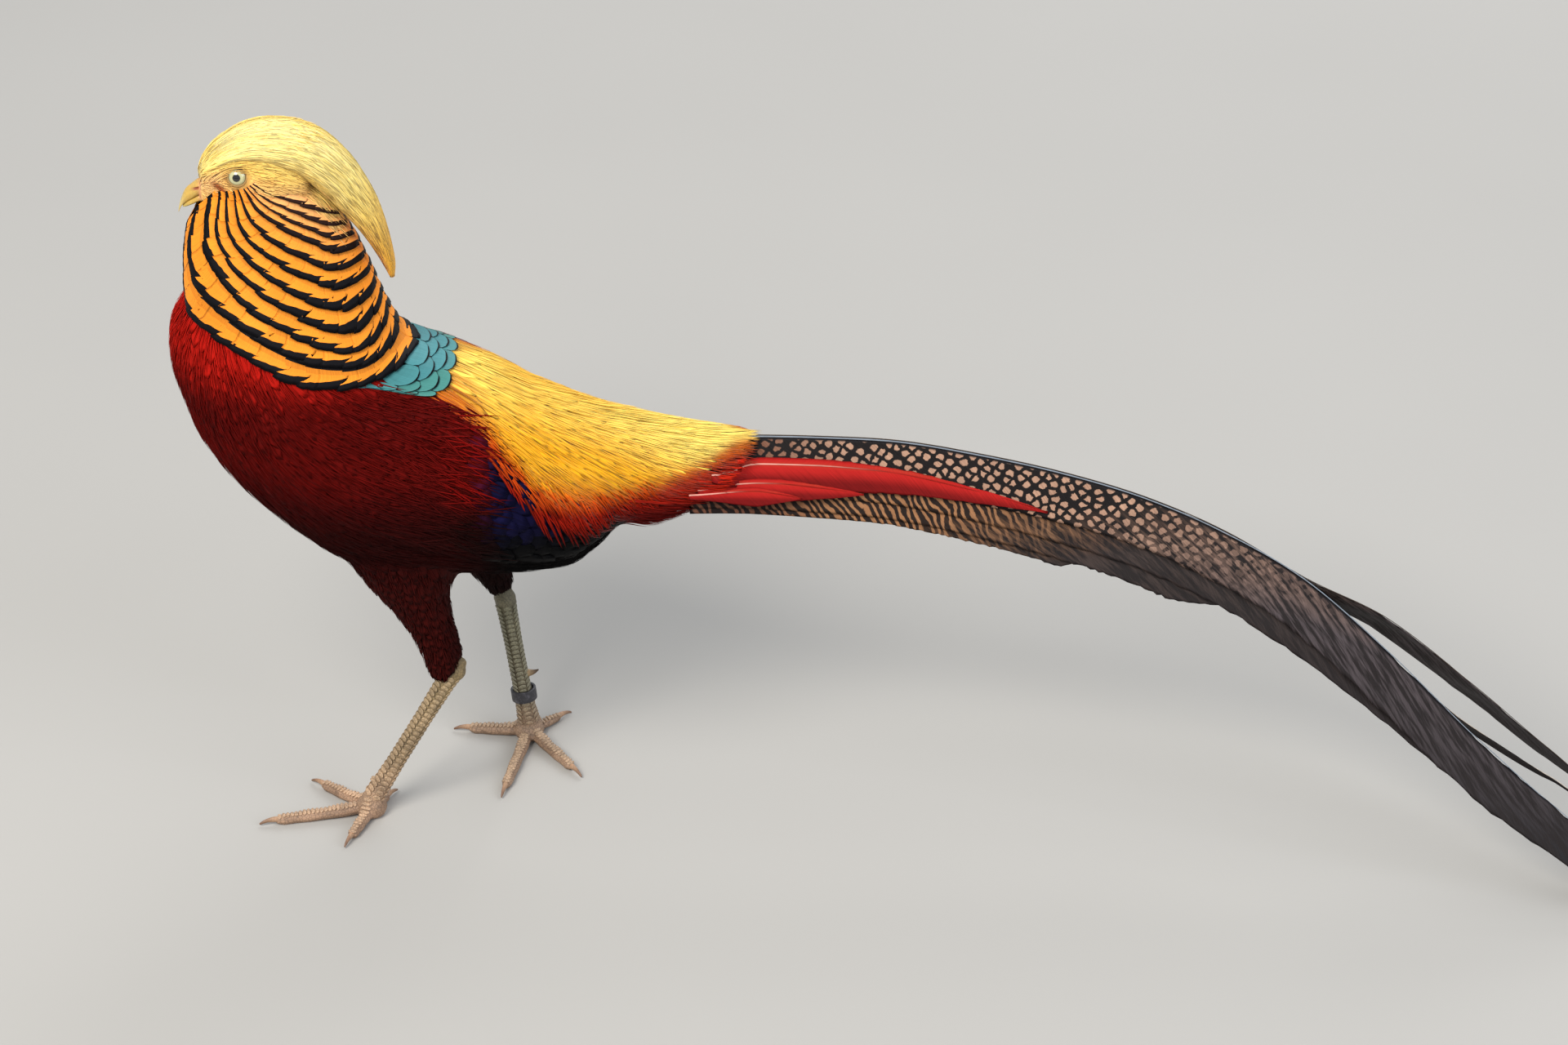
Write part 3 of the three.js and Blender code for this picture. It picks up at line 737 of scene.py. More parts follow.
def gold_body(points):
    """Golden rump with its orange-red hem, and a painted highlight along the top."""
    x, y, z = points.T
    below = gold_hem(x) - z
    return layers(
        points, "#fabc1e",
        # Painted highlight: paler gold along the top of the back.
        ("#ffe468", ramp(z - (256 - 0.45 * x), -18, 2) * 0.8),
        ("#c86a10", ramp(below / hem_soft(x), -9, 0)),
        ("#a4260a", ramp(below, -1, 5)),
    )


print("colour rules are ready")

# %% The skin
coat_depth = 2.4
skin_colour = red_body(body.points)
skin_owner = nearest_node(body.points, flesh)
for name, rule in (("rump", gold_body), ("wing_left", wing_body), ("wing_right", wing_body)):
    mine = skin_owner == flesh.index(name)
    skin_colour[mine] = rule(body.points[mine])
for name, colour in (("cape", "#2a1a12"), ("mantle", "#173a3a"), ("head", "#d9a25a"),
                     ("thigh_left", "#1e0504"), ("thigh_right", "#1e0504")):
    skin_colour[skin_owner == flesh.index(name)] = linear(colour)
hock_skin = "#8c7446"
# Painted shade: the skin under the coat is darkened to three quarters of its colour.
shade_under_coat = 0.75
for name, hock_top in (("thigh_left", 75), ("thigh_right", 94)):
    hock = (skin_owner == flesh.index(name)) & (body.points[:, 2] < hock_top)
    skin_colour[hock] = linear(hock_skin)
skin_points = body.points - body.normals * coat_depth
skin_quads = np.array([f for f in body.faces if len(f) == 4], dtype=int).reshape(-1, 4)
skin_tris = np.array([f for f in body.faces if len(f) == 3], dtype=int).reshape(-1, 3)
skin_part = {
    "points": skin_points, "quads": skin_quads, "tris": skin_tris,
    "colour": skin_colour * shade_under_coat,
    "vane": skin_points[:, [1, 0]], "bake": body_chart(skin_points),
}
print("skin:", len(skin_quads), "faces")

# %% [markdown]
# ## Contour feathers
# Sheets are laid by four arrays: the spine that was traced along the lie, a half width for
# each step, a set of columns from edge to edge, and a lift that raises the tips over the
# roots of the feathers behind. Each point is snapped to the body again, so that a feather
# bends over it and none stands off.

# %% Lay sheets on the surface
sheet_rows = np.linspace(0, 1, 6)
sheet_columns = np.linspace(-1, 1, 7)
barb_ridge = 0.08
tip_fray = 1.4
tip_bend = 0.1
sheet_thick = 0.12


def lay_sheets(surface, spine, normal, half_width, lift, camber, dice):
    """Grids of points for sheets along the spines, and their normals."""
    u, share = sheet_columns, sheet_rows
    along = tangents(spine)
    side = unit(np.cross(normal, along))
    grid = spine[:, :, None] + side[:, :, None] * (half_width[..., None] * u)[..., None]
    back = tip_bend * u ** 2 * share[:, None] ** 2
    length = np.linalg.norm(np.diff(spine, axis=1), axis=2).sum(axis=1)
    grid = grid - along[:, :, None] * (back[None] * length[:, None, None])[..., None]
    torn = (dice.random(grid.shape[:1] + (len(u), 1)) - 0.5) * tip_fray
    grid[:, -1] += along[:, -1, None] * torn
    grid, normals = surface.snap(grid)
    raised = mix(lift[0], lift[1], share)[None, :, None]
    wave = barb_ridge * np.where(np.arange(len(u)) % 2 == 0, 1, -1)
    height = raised + camber * (1 - u ** 2)[None, None] + wave[None, None] * share[None, :, None]
    return grid + normals * height[..., None], normals


def vane_shape(share, root, widest, tip):
    """Half width along a feather: narrow at the root, widest at a share, rounded to the tip."""
    rise = mix(root, 1.0, ramp(share, 0, widest))
    return rise * mix(1.0, tip, ramp(share, widest, 1.0) ** 1.5)

# %% [markdown]
# Both kinds of coat start alike: roots that stand too close together are thinned out, and so
# are roots behind a limit, where another part of the bird has to show. A contour feather's
# root lies ahead of its place, so that its middle covers it.

# %% Coats of sheets and of locks
least_room = 3.0
root_share = 0.45
sheet_sway = 0.16


def spaced_roots(roots, spacing, limit):
    """Roots at least a spacing apart, and none that is so near the limit that it has no room."""
    if limit is not None:
        roots = roots[roots[:, 0] < limit(roots) - least_room]
    return roots[thin_out(roots, np.full(len(roots), spacing))]


def contour_feathers(roots, spacing, length, width, rule, seed, tip=0.45, lift=(-1.9, 0.4),
                     vary=0.1, way=lie_way, shaded_root=0.7, light_tip=1.08, camber=0.4,
                     surface=body, limit=None):
    """A coat of sheets over the given roots, coloured by a rule for places. No feather
    reaches much further back than the limit, which is a function of the roots."""
    dice = np.random.default_rng(seed)
    roots = spaced_roots(roots, spacing, limit)
    count = len(roots)
    lengths = length * (1 + 0.25 * (dice.random(count) - 0.5))
    if limit is not None:
        lengths = np.clip((limit(roots) - roots[:, 0]) / (1 - root_share), 10, lengths)
    start = roots - way(*surface.snap(roots)) * (lengths * root_share)[:, None]
    spine, normal = trace(surface, start, lengths, len(sheet_rows), way,
                          sheet_sway * (dice.random(count) - 0.5))
    half = width / 2 * vane_shape(sheet_rows, 0.45, 0.55, tip)[None] * np.ones((count, 1))
    grid, normals = lay_sheets(surface, spine, normal, half, lift, camber, dice)
    grid += normals * (dice.random((count, 1, 1, 1)) * 0.3) * sheet_rows[None, :, None, None]
    base = rule(roots) * (1 + vary * (dice.random((count, 1)) * 2 - 1))
    # Painted shade: each sheet is darker at its root, which the feathers in front cover, and a
    # little lighter at its tip.
    root_shade = mix(shaded_root, light_tip, sheet_rows)[None, :, None, None]
    shades = base[:, None, None] * root_shade * np.ones((1, 1, len(sheet_columns), 1))
    return sheet_part(grid, normals, sheet_columns, sheet_rows, sheet_thick, shades,
                      body_chart(roots), spine)


def loose_locks(roots, spacing, length, half_width, rule, seed, lift=(-0.6, 0.8), rings=6,
                vary=0.22, sway=0.3, way=lie_way, chart=body_chart, spread=0.3,
                surface=body, limit=None, gap_shade_share=0.0):
    """Hair-like pointed feathers over the given roots, coloured at each step by place. A
    share of them is painted darker, as painted shade for the gaps between the others."""
    dice = np.random.default_rng(seed)
    roots = spaced_roots(roots, spacing, limit)
    count = len(roots)
    lengths = length * (1 + spread * (dice.random(count) * 2 - 1))
    if limit is not None:
        room = np.maximum(limit(roots) - roots[:, 0], 5)
        lengths = np.minimum(lengths, room * (0.8 + 0.3 * dice.random(count)))
    spine, normal = trace(surface, roots, lengths, rings, way, sway * (dice.random(count) - 0.5))
    share = np.linspace(0, 1, rings)
    height = mix(lift[0], lift[1], share)[None, :] + dice.random((count, 1)) * 0.5 * share[None]
    shown = spine + normal * height[..., None]
    half = half_width * (1 - 0.75 * share[None] ** 1.6) * (0.7 + 0.6 * dice.random((count, 1)))
    shades = rule(spine.reshape(-1, 3)).reshape(count, rings, 3)
    shades = shades * (1 + vary * (dice.random((count, 1, 1)) * 2 - 1))
    # Painted shade: a share of the locks is darkened as if seen in the gaps.
    shades = shades * np.where(dice.random((count, 1, 1)) < gap_shade_share, 0.55, 1.0)
    return lock_part(shown, normal, half, shades, chart(roots))


print("feather tools are ready")

# %% [markdown]
# ## Breast, belly and flanks
# The cock's breast feathers have loose tips that mingle, so the breast looks like red fur.
# A coat of sheets closes the surface and fine locks on top give the streaks.

# %% Red plumage
even_tone = {"shaded_root": 0.95, "light_tip": 1.0, "camber": 0.15}
trunk_end = 88.0
wing_front = 16.0

cape_points = candidates[of_nodes("cape")]
hem_of_ruff = np.interp(cape_points[:, 0], [-120, -112, -98, -70, -40, -24, -6],
                        [290, 286, 278, 265, 257, 255.5, 254])
below_ruff = cape_points[(cape_points[:, 2] < hem_of_ruff) & (cape_points[:, 0] < -26)]
trunk_points = np.concatenate([candidates[of_nodes("trunk")], below_ruff])
is_rear = trunk_points[:, 0] > trunk_end
red_points = trunk_points[~is_rear]
wing_points = candidates[of_nodes("wing_left", "wing_right")]
is_flank = wing_points[:, 0] <= wing_front
for word, half in (("left", red_points[:, 1] <= 0), ("right", red_points[:, 1] > 0)):
    breast = [
        contour_feathers(red_points[half], 5.0, 19, 8.5, red_body, seed=21, lift=(-1.9, 0.0),
                         vary=0.04, **even_tone),
        loose_locks(red_points[half], 1.8, 20, 0.42, red_body, seed=31, vary=0.12,
                    gap_shade_share=0.04),
    ]
    add_parts(f"breast_{word}", breast, crimson_vane, "plumage_crimson")
flank = [
    contour_feathers(wing_points[is_flank], 5.0, 21, 8.5, red_body, seed=22,
                     lift=(-1.9, 0.0), vary=0.04, **even_tone),
    loose_locks(wing_points[is_flank], 1.9, 26, 0.45, red_body, seed=32, vary=0.2,
                gap_shade_share=0.06),
]
add_parts("flank_feathers", flank, crimson_vane, "plumage_crimson")

# %% [markdown]
# The wing is shut and mostly hidden. What shows of it are broad blue-black feathers behind
# the flank, and the pointed red wisps that hang over them.

# %% The wing's blue-black patch and the wisps over it
is_blue = ~is_flank & (wing_points[:, 2] < gold_hem(wing_points[:, 0]))
blue = [contour_feathers(wing_points[is_blue], 6.6, 26, 14, wing_body, seed=23, tip=0.7,
                         vary=0.3)]
add_parts("wing_feathers", blue, night_vane, "plumage_navy")


def wisp_red(points):
    """The flank's own red, and deep red over the blue."""
    x, y, z = points.T
    deep = layers(points, "#7c0a06", ("#180302", ramp(206 - z, 0, 20)))
    return mix(red_body(points), deep, ramp(x, 0, 18)[:, None])


near_border = (np.abs(wing_points[:, 0]) < 14) & (wing_points[:, 2] > 168)
wisps = [loose_locks(wing_points[near_border], 3.2, 26, 0.5, wisp_red, seed=33, rings=8,
                     lift=(-0.4, 1.6), sway=1.0, spread=0.5)]
add_parts("red_wisps", wisps, crimson_vane, "plumage_crimson")

# %% [markdown]
# ## The line of the tail
# A cock's tail folds like a roof. Its ridge is a long curve in space, given here by stations,
# and each feather will lie on a flank of the roof at its own distance below the ridge. The
# rump's feathers need it too, because they run on over the root of the tail: for them the
# body's surface is made once more with a sleeve round that root.

# %% The ridges: x, y, z and the slope of the roof in degrees
shared_ridge = [
    (118, 0, 202.5, 56), (150, 0, 203, 55), (192, -2, 203.5, 54), (234, -4, 202, 52),
    (275, -8, 196.5, 52), (316, -13, 189, 52), (357, -21, 179.5, 52), (397, -32, 166, 50),
    (438, -47, 147, 47),
]
left_ridge = np.array(shared_ridge + [
    (479, -65, 116.5, 44), (520, -85, 81.5, 42), (566, -106, 47, 36), (605, -122, 21, 24),
    (640, -134, 6.5, 12), (680, -144, 2.2, 4), (716, -150, 1.3, 2),
], dtype=float)
right_ridge = np.array(shared_ridge + [
    (479, -52, 127, 52), (519, -61, 97, 58), (564, -79, 64, 54), (604, -92, 34, 34),
    (640, -100, 12, 10), (675, -105, 3.2, 3), (705, -108, 1.4, 2),
], dtype=float)
middle_ridge = np.array(shared_ridge + [
    (479, -60, 117, 48), (520, -74, 86, 56), (566, -92, 62, 56), (600, -104, 44, 50),
], dtype=float)
tail_start = 157.8
tail_step = 25.0
layer_step = 1.5
root_length = 170.0
root_stand = 0.15


def ridge_at(ridge, x):
    """Place and slope on a ridge at x, on the same smooth curve as the frame's."""
    i = np.clip(np.searchsorted(ridge[:, 0], x) - 1, 0, len(ridge) - 2)
    t = (x - ridge[i, 0]) / (ridge[i + 1, 0] - ridge[i, 0])
    values = curve(ridge, (i + t) / (len(ridge) - 1))
    return np.column_stack([x, values[:, 1:3]]), np.radians(values[:, 3])


def tail_frame(side, ridge, x):
    """Point on the ridge, the way down the roof's flank and the flank's normal."""
    point, slope = ridge_at(ridge, x)
    ahead = unit(ridge_at(ridge, x + 2)[0] - ridge_at(ridge, x - 2)[0])
    level = np.stack([-ahead[:, 1], ahead[:, 0], np.zeros(len(x))], axis=1)
    outward = unit(level) * side
    up = unit(np.cross(ahead, outward) * side)
    cos, sin = np.cos(slope)[:, None], np.sin(slope)[:, None]
    return point, outward * cos - up * sin, outward * sin + up * cos


print("ridge stations:", len(left_ridge), "left,", len(right_ridge), "right")

# %% The roof's root as a sleeve, joined to the body
sleeve_rings = 16
sleeve_sides = 6
sleeve_depth = 34.0
sleeve_wall = 5.0


def sleeve_mesh():
    """A closed six-sided sleeve a little larger than the root of the folded tail."""
    x = np.linspace(148, 236, sleeve_rings)
    point, down_left, out_left = tail_frame(-1, left_ridge, x)
    _, down_right, out_right = tail_frame(1, left_ridge, x)
    low_left = point + down_left * sleeve_depth + out_left * sleeve_wall
    low_right = point + down_right * sleeve_depth + out_right * sleeve_wall
    rings = np.stack([
        point + [0, 0, 1.5], point + down_left * sleeve_depth / 2 + out_left * 4, low_left,
        (low_left + low_right) / 2 + [0, 0, -1.0], low_right,
        point + down_right * sleeve_depth / 2 + out_right * 4,
    ], axis=1)
    n = sleeve_sides
    faces = [(n * i + j, n * i + (j + 1) % n, n * i + n + (j + 1) % n, n * i + n + j)
             for i in range(sleeve_rings - 1) for j in range(n)]
    last = n * (sleeve_rings - 1)
    faces += [tuple(range(n))[::-1], tuple(range(last, last + n))]
    mesh = bpy.data.meshes.new("sleeve")
    mesh.from_pydata([tuple(p) for p in to_row(rings.reshape(-1, 3))], [], faces)
    return mesh


wrap = Surface(applied(joined(flesh_meshes + [sleeve_mesh()], swell), smooth_remesh))
print("body with the root of the tail:", len(wrap.faces), "faces")

# %% [markdown]
# ## The golden rump
# Long silky strands fan out from the spine. In front they fall steeply over the wing, further
# back they run almost level into the tail. Above, the gold reaches far back, and below it ends
# sooner, so its end slants over the root of the tail. Some strands start under the mantle's
# last scales, which closes the seam between the two.

# %% Where the gold grows and how it lies
rump_comb = np.array([
    (0, 250, 0.66, -0.75), (12, 236, 0.54, -0.84), (30, 212, 0.52, -0.85), (45, 225, 0.7, -0.7),
    (62, 195, 0.62, -0.78), (75, 212, 0.82, -0.55), (95, 190, 0.85, -0.5),
    (110, 200, 0.93, -0.35), (145, 195, 1.0, -0.12), (160, 180, 1.0, -0.05),
    (190, 195, 1.0, 0.0), (190, 175, 1.0, 0.0),
])
rump_way = comb_way(rump_comb)


def strand_gold(points):
    """Gold with a painted highlight along the top, then orange and red below the hem line."""
    x, y, z = points.T
    below = gold_hem(x) - z
    return layers(
        points, "#ffbc1c",
        # Painted highlight: paler strands along the top.
        ("#ffe878", ramp(z + 0.42 * x, 236, 262) * 0.9),
        ("#cc6c10", ramp(below / hem_soft(x), -15, -1)),
        ("#a82a0a", ramp(below, -2, 4)),
        ("#640b07", ramp(below, 4, 16)),
    )


def gold_end(points):
    """How far back the gold reaches at each height."""
    return np.interp(points[:, 2], [184, 190, 195, 200, 203], [108, 122, 136, 152, 163])


below_hem = gold_hem(candidates[:, 0]) - candidates[:, 2]
is_gold = of_nodes("rump") | ((below_hem < 0) & (candidates[:, 0] > 20))
is_edge = of_nodes("mantle") & (candidates[:, 0] > 0)
print("roots for the gold:", int(is_gold.sum()), "and for its front edge:", int(is_edge.sum()))

# %% The gold as sheets and strands
rump = [
    contour_feathers(candidates[is_gold], 5.6, 24, 8, gold_body, seed=24, way=rump_way,
                     tip=0.25, lift=(-1.9, 0.1), surface=wrap, limit=gold_end),
    loose_locks(candidates[is_gold | is_edge], 1.9, 44, 0.55, strand_gold, seed=34, rings=9,
                way=rump_way, lift=(-1.0, 1.3), sway=0.14, vary=0.08, surface=wrap,
                limit=gold_end, gap_shade_share=0.05),
]
add_parts("rump_feathers", rump, silk_gold, "plumage_gold")

# %% [markdown]
# Along the hem of the gold hang pointed orange-red feathers, which get deep red where they lie
# over the wing. They are longest in the middle of the hem. Their vanes are soft, not silky, so
# they are a piece of their own.

# %% Feathers that hang from the hem
hanging_comb = np.array([
    (35, 205, 0.4, -0.9), (60, 185, 0.35, -0.94), (85, 178, 0.45, -0.9), (110, 180, 0.85, -0.5),
    (50, 165, 0.45, -0.9), (80, 155, 0.45, -0.9),
])


def hanging_red(points):
    """Orange-red at the hem of the gold, deep red where the strands hang over the wing."""
    below = gold_hem(points[:, 0]) - points[:, 2]
    return layers(
        points, "#e8921a",
        ("#c0480e", ramp(below, -7, -2)),
        ("#8c1708", ramp(below, -1, 7)),
        ("#4e0705", ramp(below, 8, 26)),
    )


def hanging_end(points):
    """How far the hanging feathers run: longest in the middle of the hem."""
    x = points[:, 0]
    return x + np.interp(x, [30, 44, 54, 68, 80, 100], [10, 12, 26, 28, 16, 12])


near_hem = candidates[(below_hem > -8) & (below_hem < 5) & (candidates[:, 0] > 28)
                      & (candidates[:, 0] < 108)]
hanging = [
    loose_locks(near_hem, 1.7, 34, 0.75, hanging_red, seed=36, rings=8,
                way=comb_way(hanging_comb), lift=(0.1, 1.8), sway=0.3, vary=0.2,
                surface=wrap, limit=hanging_end, gap_shade_share=0.05),
]
add_parts("hanging_feathers", hanging, crimson_vane, "plumage_crimson")

# %% [markdown]
# Behind the gold and under it the feathers round the tail's root are scarlet above and deep
# red below. They run back over the roots of the long coverts, which come out from under them.

# %% Red feathers at the root of the tail
coat_end = 140.0
under_top = 184.0


def tail_root_red(points):
    """Scarlet above, deep red below."""
    return layers(points, "#b82412", ("#560805", ramp(190 - points[:, 2], 0, 18)))


def root_end(points):
    """How far back the sheets reach: the same at every height."""
    return np.full(len(points), coat_end)


def red_end(points):
    """How far back the red locks reach at each height."""
    return np.interp(points[:, 2], [170, 184, 190, 197, 201], [132, 148, 152, 158, 160])


rear_points = trunk_points[is_rear]
rear_points = rear_points[rear_points[:, 2] < gold_hem(rear_points[:, 0]) + 1]
is_under = rear_points[:, 2] < under_top
undertail = [
    contour_feathers(rear_points, 5.5, 24, 8, tail_root_red, seed=25, tip=0.2, surface=wrap,
                     limit=root_end, camber=0.15),
    loose_locks(rear_points[~is_under], 2.0, 34, 0.6, tail_root_red, seed=35, rings=7,
                lift=(-0.8, 2.4), surface=wrap, limit=red_end, spread=0.4),
    loose_locks(rear_points[is_under], 2.0, 26, 0.6, tail_root_red, seed=38, rings=7,
                lift=(-0.8, 3.8), surface=wrap, limit=red_end, spread=0.4),
]
add_parts("undertail_feathers", undertail, crimson_vane, "plumage_crimson")

# %% [markdown]
# ## The teal mantle
# Between the ruff and the rump lie a few rows of round teal scales, each with a thin black
# edge. The rows run in arcs side by side with the ruff's lower edge, so the arcs are set out
# between two curves: one under the ruff and one where the gold begins. Each row's scales
# stand over the gaps of the row before.

# %% Scales of the mantle in arcs that follow the ruff's edge
mantle_arcs = {
    0: [(-12, 0, 258), (-13, -12, 256), (-16, -22, 254.5), (-21, -30, 254), (-27, -37, 254.5),
        (-33, -42, 255.5), (-38, -45, 256)],
    1: [(12.6, 0, 248.6), (12.4, -10, 248), (11.2, -20, 246), (7.5, -28.5, 243),
        (-1, -32.5, 243.5), (-12, -33.5, 247.3), (-20, -36, 252)],
}
scale_tips = [0.46, 0.64, 0.82, 1.0]
scale_reach = 0.56
scale_wide = 15.0
scale_edge = "#0b1012"
arc_steps = 80
scale_rows = np.array([0, 0.3, 0.5, 0.68, 0.82, 0.94, 1.0])
scale_columns = np.array([-1, -0.92, -0.7, -0.35, 0, 0.35, 0.7, 0.92, 1])


def mantle_place(depth, share):
    """The place at a depth behind the ruff and a signed share of the way down each side."""
    near, far = (curve(mantle_arcs[key], np.abs(share)) for key in (0, 1))
    places = mix(near, far, depth[:, None])
    places[:, 1] *= -np.sign(share)
    return places


def mantle_row(tip, stagger, dice):
    """One arc of overlapping round scales, from the left side over the back to the right."""
    arc = mantle_place(np.full(arc_steps, tip), np.linspace(0.001, 1, arc_steps))
    length = 2 * np.linalg.norm(np.diff(arc, axis=0), axis=1).sum()
    count = int(length / scale_wide)
    middle = -1 + 2 * (np.arange(count + 1) + 0.5 * stagger) / count
    count = len(middle)
    u = scale_columns[None, None, :]
    a = scale_rows[None, :, None]
    round_end = vane_shape(scale_rows, 0.6, 0.5, 1.0)[None, :, None]
    narrow = mix(1.0, 0.62, ramp(scale_rows, 0.72, 1.0) ** 2)[None, :, None]
    share = middle[:, None, None] + u * 1.2 / count * round_end * narrow
    size = 1 + 0.1 * (dice.random((count, 1, 1)) * 2 - 1)
    depth = tip - scale_reach * (1 - a) * size - 0.05 * u ** 2 * a ** 2
    depth, share = (v.reshape(-1) for v in np.broadcast_arrays(depth, np.clip(share, -1, 1)))
    places = mantle_place(depth, share + 1e-6).reshape(count, len(scale_rows), -1, 3)
    grid, normals = body.snap(places)
    height = mix(-1.2, 0.7, a) + 0.25 * (1 - u ** 2) + dice.random((count, 1, 1)) * 0.15 * a
    grid = grid + normals * height[..., None]
    spine = grid[:, :, len(scale_columns) // 2]
    base = mantle_teal(spine[:, -1]) * (1 + 0.08 * (dice.random((count, 1)) * 2 - 1))
    # Painted shade: each scale is darker towards its covered root and lighter towards its tip.
    shades = base[:, None, None] * mix(0.8, 1.1, scale_rows)[None, :, None, None] * np.ones(
        (1, 1, len(scale_columns), 1))
    faces = (shades[:, :-1, :-1] + shades[:, 1:, 1:]) / 2
    faces[:, -1] = linear(scale_edge)
    faces[:, 3:, 0] = linear(scale_edge)
    faces[:, 3:, -1] = linear(scale_edge)
    return sheet_part(grid, normals, scale_columns, scale_rows, sheet_thick, shades,
                      body_chart(spine[:, 0]), spine, faces)


def mantle_teal(points):
    """Green-blue, bluer over the back."""
    return layers(points, "#45827a", ("#44808e", ramp(points[:, 2], 245, 252) * 0.6))


dice = np.random.default_rng(26)
mantle = [mantle_row(tip, row % 2, dice) for row, tip in enumerate(scale_tips)]
add_parts("mantle_feathers", mantle, teal_scale, "plumage_teal")

# %% [markdown]
# ## The barred ruff
# The cape feathers grow round the face and spread like a fan over the neck. Each is square at
# its end and has two black bars, so that row after row the bars join into long stripes. The
# stripes are set out first, as curves from the throat round to the nape: line 0 is the ruff's
# lower edge, line 11 runs just under the eye. A feather has its root nearly two lines higher
# than its tip and shows only its outer half. Its sides slant and it lies over the feather in
# front of it, which cuts each bar to a point: so the stripes get their small teeth.

# %% The stripes as curves on the left side, from throat to nape
ruff_lines = {
    0: [(-118, -1, 326), (-118, -9, 290), (-97, -36, 278.5), (-60, -50, 262.5),
        (-26, -38, 256.5), (-6, 0, 257)],
    2.4: [(-101, -11, 348), (-103, -18, 323), (-87, -32, 301), (-60, -39.5, 284),
        (-33, -32, 273), (-21, 0, 279)],
    4.9: [(-92, -13, 349), (-89, -20, 331), (-76, -26, 318), (-56, -29, 306), (-42, -23, 299),
        (-29.5, 0, 297)],
    7.3: [(-86, -15, 351), (-78, -17, 340), (-67, -20, 333), (-54, -19, 325), (-46, -15, 318),
        (-36, 0, 312)],
    11: [(-80, -15, 355), (-73, -15, 352), (-64, -13, 348), (-56, -9, 343), (-49, -6, 339),
        (-43, 0, 333)],
}
ruff_rows = 11
ruff_reach = 1.9
ruff_spacing = 11.0


def ruff_place(line, share):
    """The place on a stripe, given by its number and the share of the way to the nape."""
    keys = np.array(sorted(ruff_lines))
    spans = np.stack([curve(ruff_lines[key], share) for key in keys])
    i = np.clip(np.searchsorted(keys, line) - 1, 0, len(keys) - 2)
    t = ((line - keys[i]) / (keys[i + 1] - keys[i]))[:, None]
    pick = np.arange(len(share))
    return mix(spans[i, pick], spans[i + 1, pick], t)


print("ruff:", ruff_rows, "rows over", len(ruff_lines), "drawn lines")

# %% Rows of square feathers along the stripes
bar_rows = np.array([0.0, 0.22, 0.42, 0.56, 0.7, 0.83, 0.92, 1.0])
bar_is_dark = np.array([False, True, False, False, False, True, True])
front_bar = 0.17
rear_bar = 0.25
bar_wedge = 0.22
side_slant = 0.34
ruff_columns = np.linspace(-1, 1, 9)
ruff_half = 0.78
ruff_thick = 0.14
row_steps = 60
least_feathers = 7


def ruff_row(row, side, dice):
    """One row of the ruff on one side."""
    way_along = ruff_place(np.full(row_steps, float(row)), np.linspace(0, 1, row_steps))
    length = np.linalg.norm(np.diff(way_along, axis=0), axis=1).sum()
    count = max(least_feathers, int(round(length / ruff_spacing)))
    middle = (np.arange(count) + 0.5) / count + (dice.random(count) - 0.5) * 0.25 / count
    half = ruff_half / count
    reach = min(ruff_reach, ruff_rows + 1.0 - row)
    shift = (dice.random(count) - 0.5) * 0.14
    u = ruff_columns[None, None, :]
    a = np.tile(bar_rows[None, :, None], (count, 1, len(ruff_columns)))
    dark = mix(front_bar, rear_bar, ramp(middle, 0.2, 0.8))[:, None]
    a[:, 5] = 1 - dark * (1 + bar_wedge * ruff_columns) * (0.9 + 0.2 * dice.random((count, 1)))
    a[:, 4] = (a[:, 3] + a[:, 5]) / 2
    a[:, 6] = (a[:, 5] + 1) / 2
    wide = vane_shape(bar_rows, 0.6, 0.5, 0.9)[None, :, None]
    slant = side_slant / count * ramp(a, 0.6, 1.0)
    share = middle[:, None, None] + u * half * wide - slant
    corner = 0.06 * np.abs(u) ** 3 * (bar_rows == 1.0)[None, :, None]
    step = mix(0.02, 0.07, ramp(middle, 0.15, 0.5))[:, None, None]
    edge = row - 0.22 * (row == 0)
    line = (edge + reach * (1 - a) + shift[:, None, None] * a + step * u * a + corner
            + (dice.random((count, 1, len(ruff_columns))) - 0.5) * 0.05 * (bar_rows > 0.5)[:, None])
    flat_line, flat_share = (v.reshape(-1) for v in np.broadcast_arrays(line, share))
    places = ruff_place(flat_line, np.clip(flat_share, 0, 1)).reshape(count, len(bar_rows), -1, 3)
    places[..., 1] *= side
    grid, normals = body.snap(places)
    wave = 0.07 * np.where(np.arange(len(ruff_columns)) % 2 == 0, 1, -1)
    height = (mix(-1.5, 0.7, bar_rows)[None, :, None] + 0.15 * (1 - u ** 2) + wave * a
              + (dice.random((count, 1, 1)) * 0.12 - 0.22 * u) * a + 0.03 * row)
    grid = grid + normals * height[..., None]
    near_top = ramp(row, 5, 11)
    ground = mix(linear("#ee8e26"), linear("#eeb070"), near_top)
    bar = mix(linear("#09080d"), linear("#2e1a14"), near_top)
    tone = 1 + 0.08 * (dice.random((count, 1, 1, 1)) * 2 - 1)
    faces = np.where(bar_is_dark[None, :, None, None], bar, ground * tone)
    faces = np.broadcast_to(faces, (count, len(bar_rows) - 1, len(ruff_columns) - 1, 3)).copy()
    # Painted shadow: the orange just past the first bar is darkened where the tip of the next row
    # lies over it.
    faces[:, 2:5] *= np.array([0.78, 1.0, 1.05])[None, :, None, None]
    shades = np.broadcast_to(ground, grid.shape).copy()
    spine = grid[:, :, len(ruff_columns) // 2]
    if side > 0:
        grid = grid[:, :, ::-1]
        normals = normals[:, :, ::-1]
    return sheet_part(grid, normals, ruff_columns, bar_rows, ruff_thick, shades,
                      neck_chart(spine[:, 0]), spine, faces)


dice = np.random.default_rng(41)
ruff = [ruff_row(row, side, dice) for side in (1, -1) for row in range(ruff_rows)]
add_parts("ruff_feathers", ruff, barred_ruff, "plumage_orange")

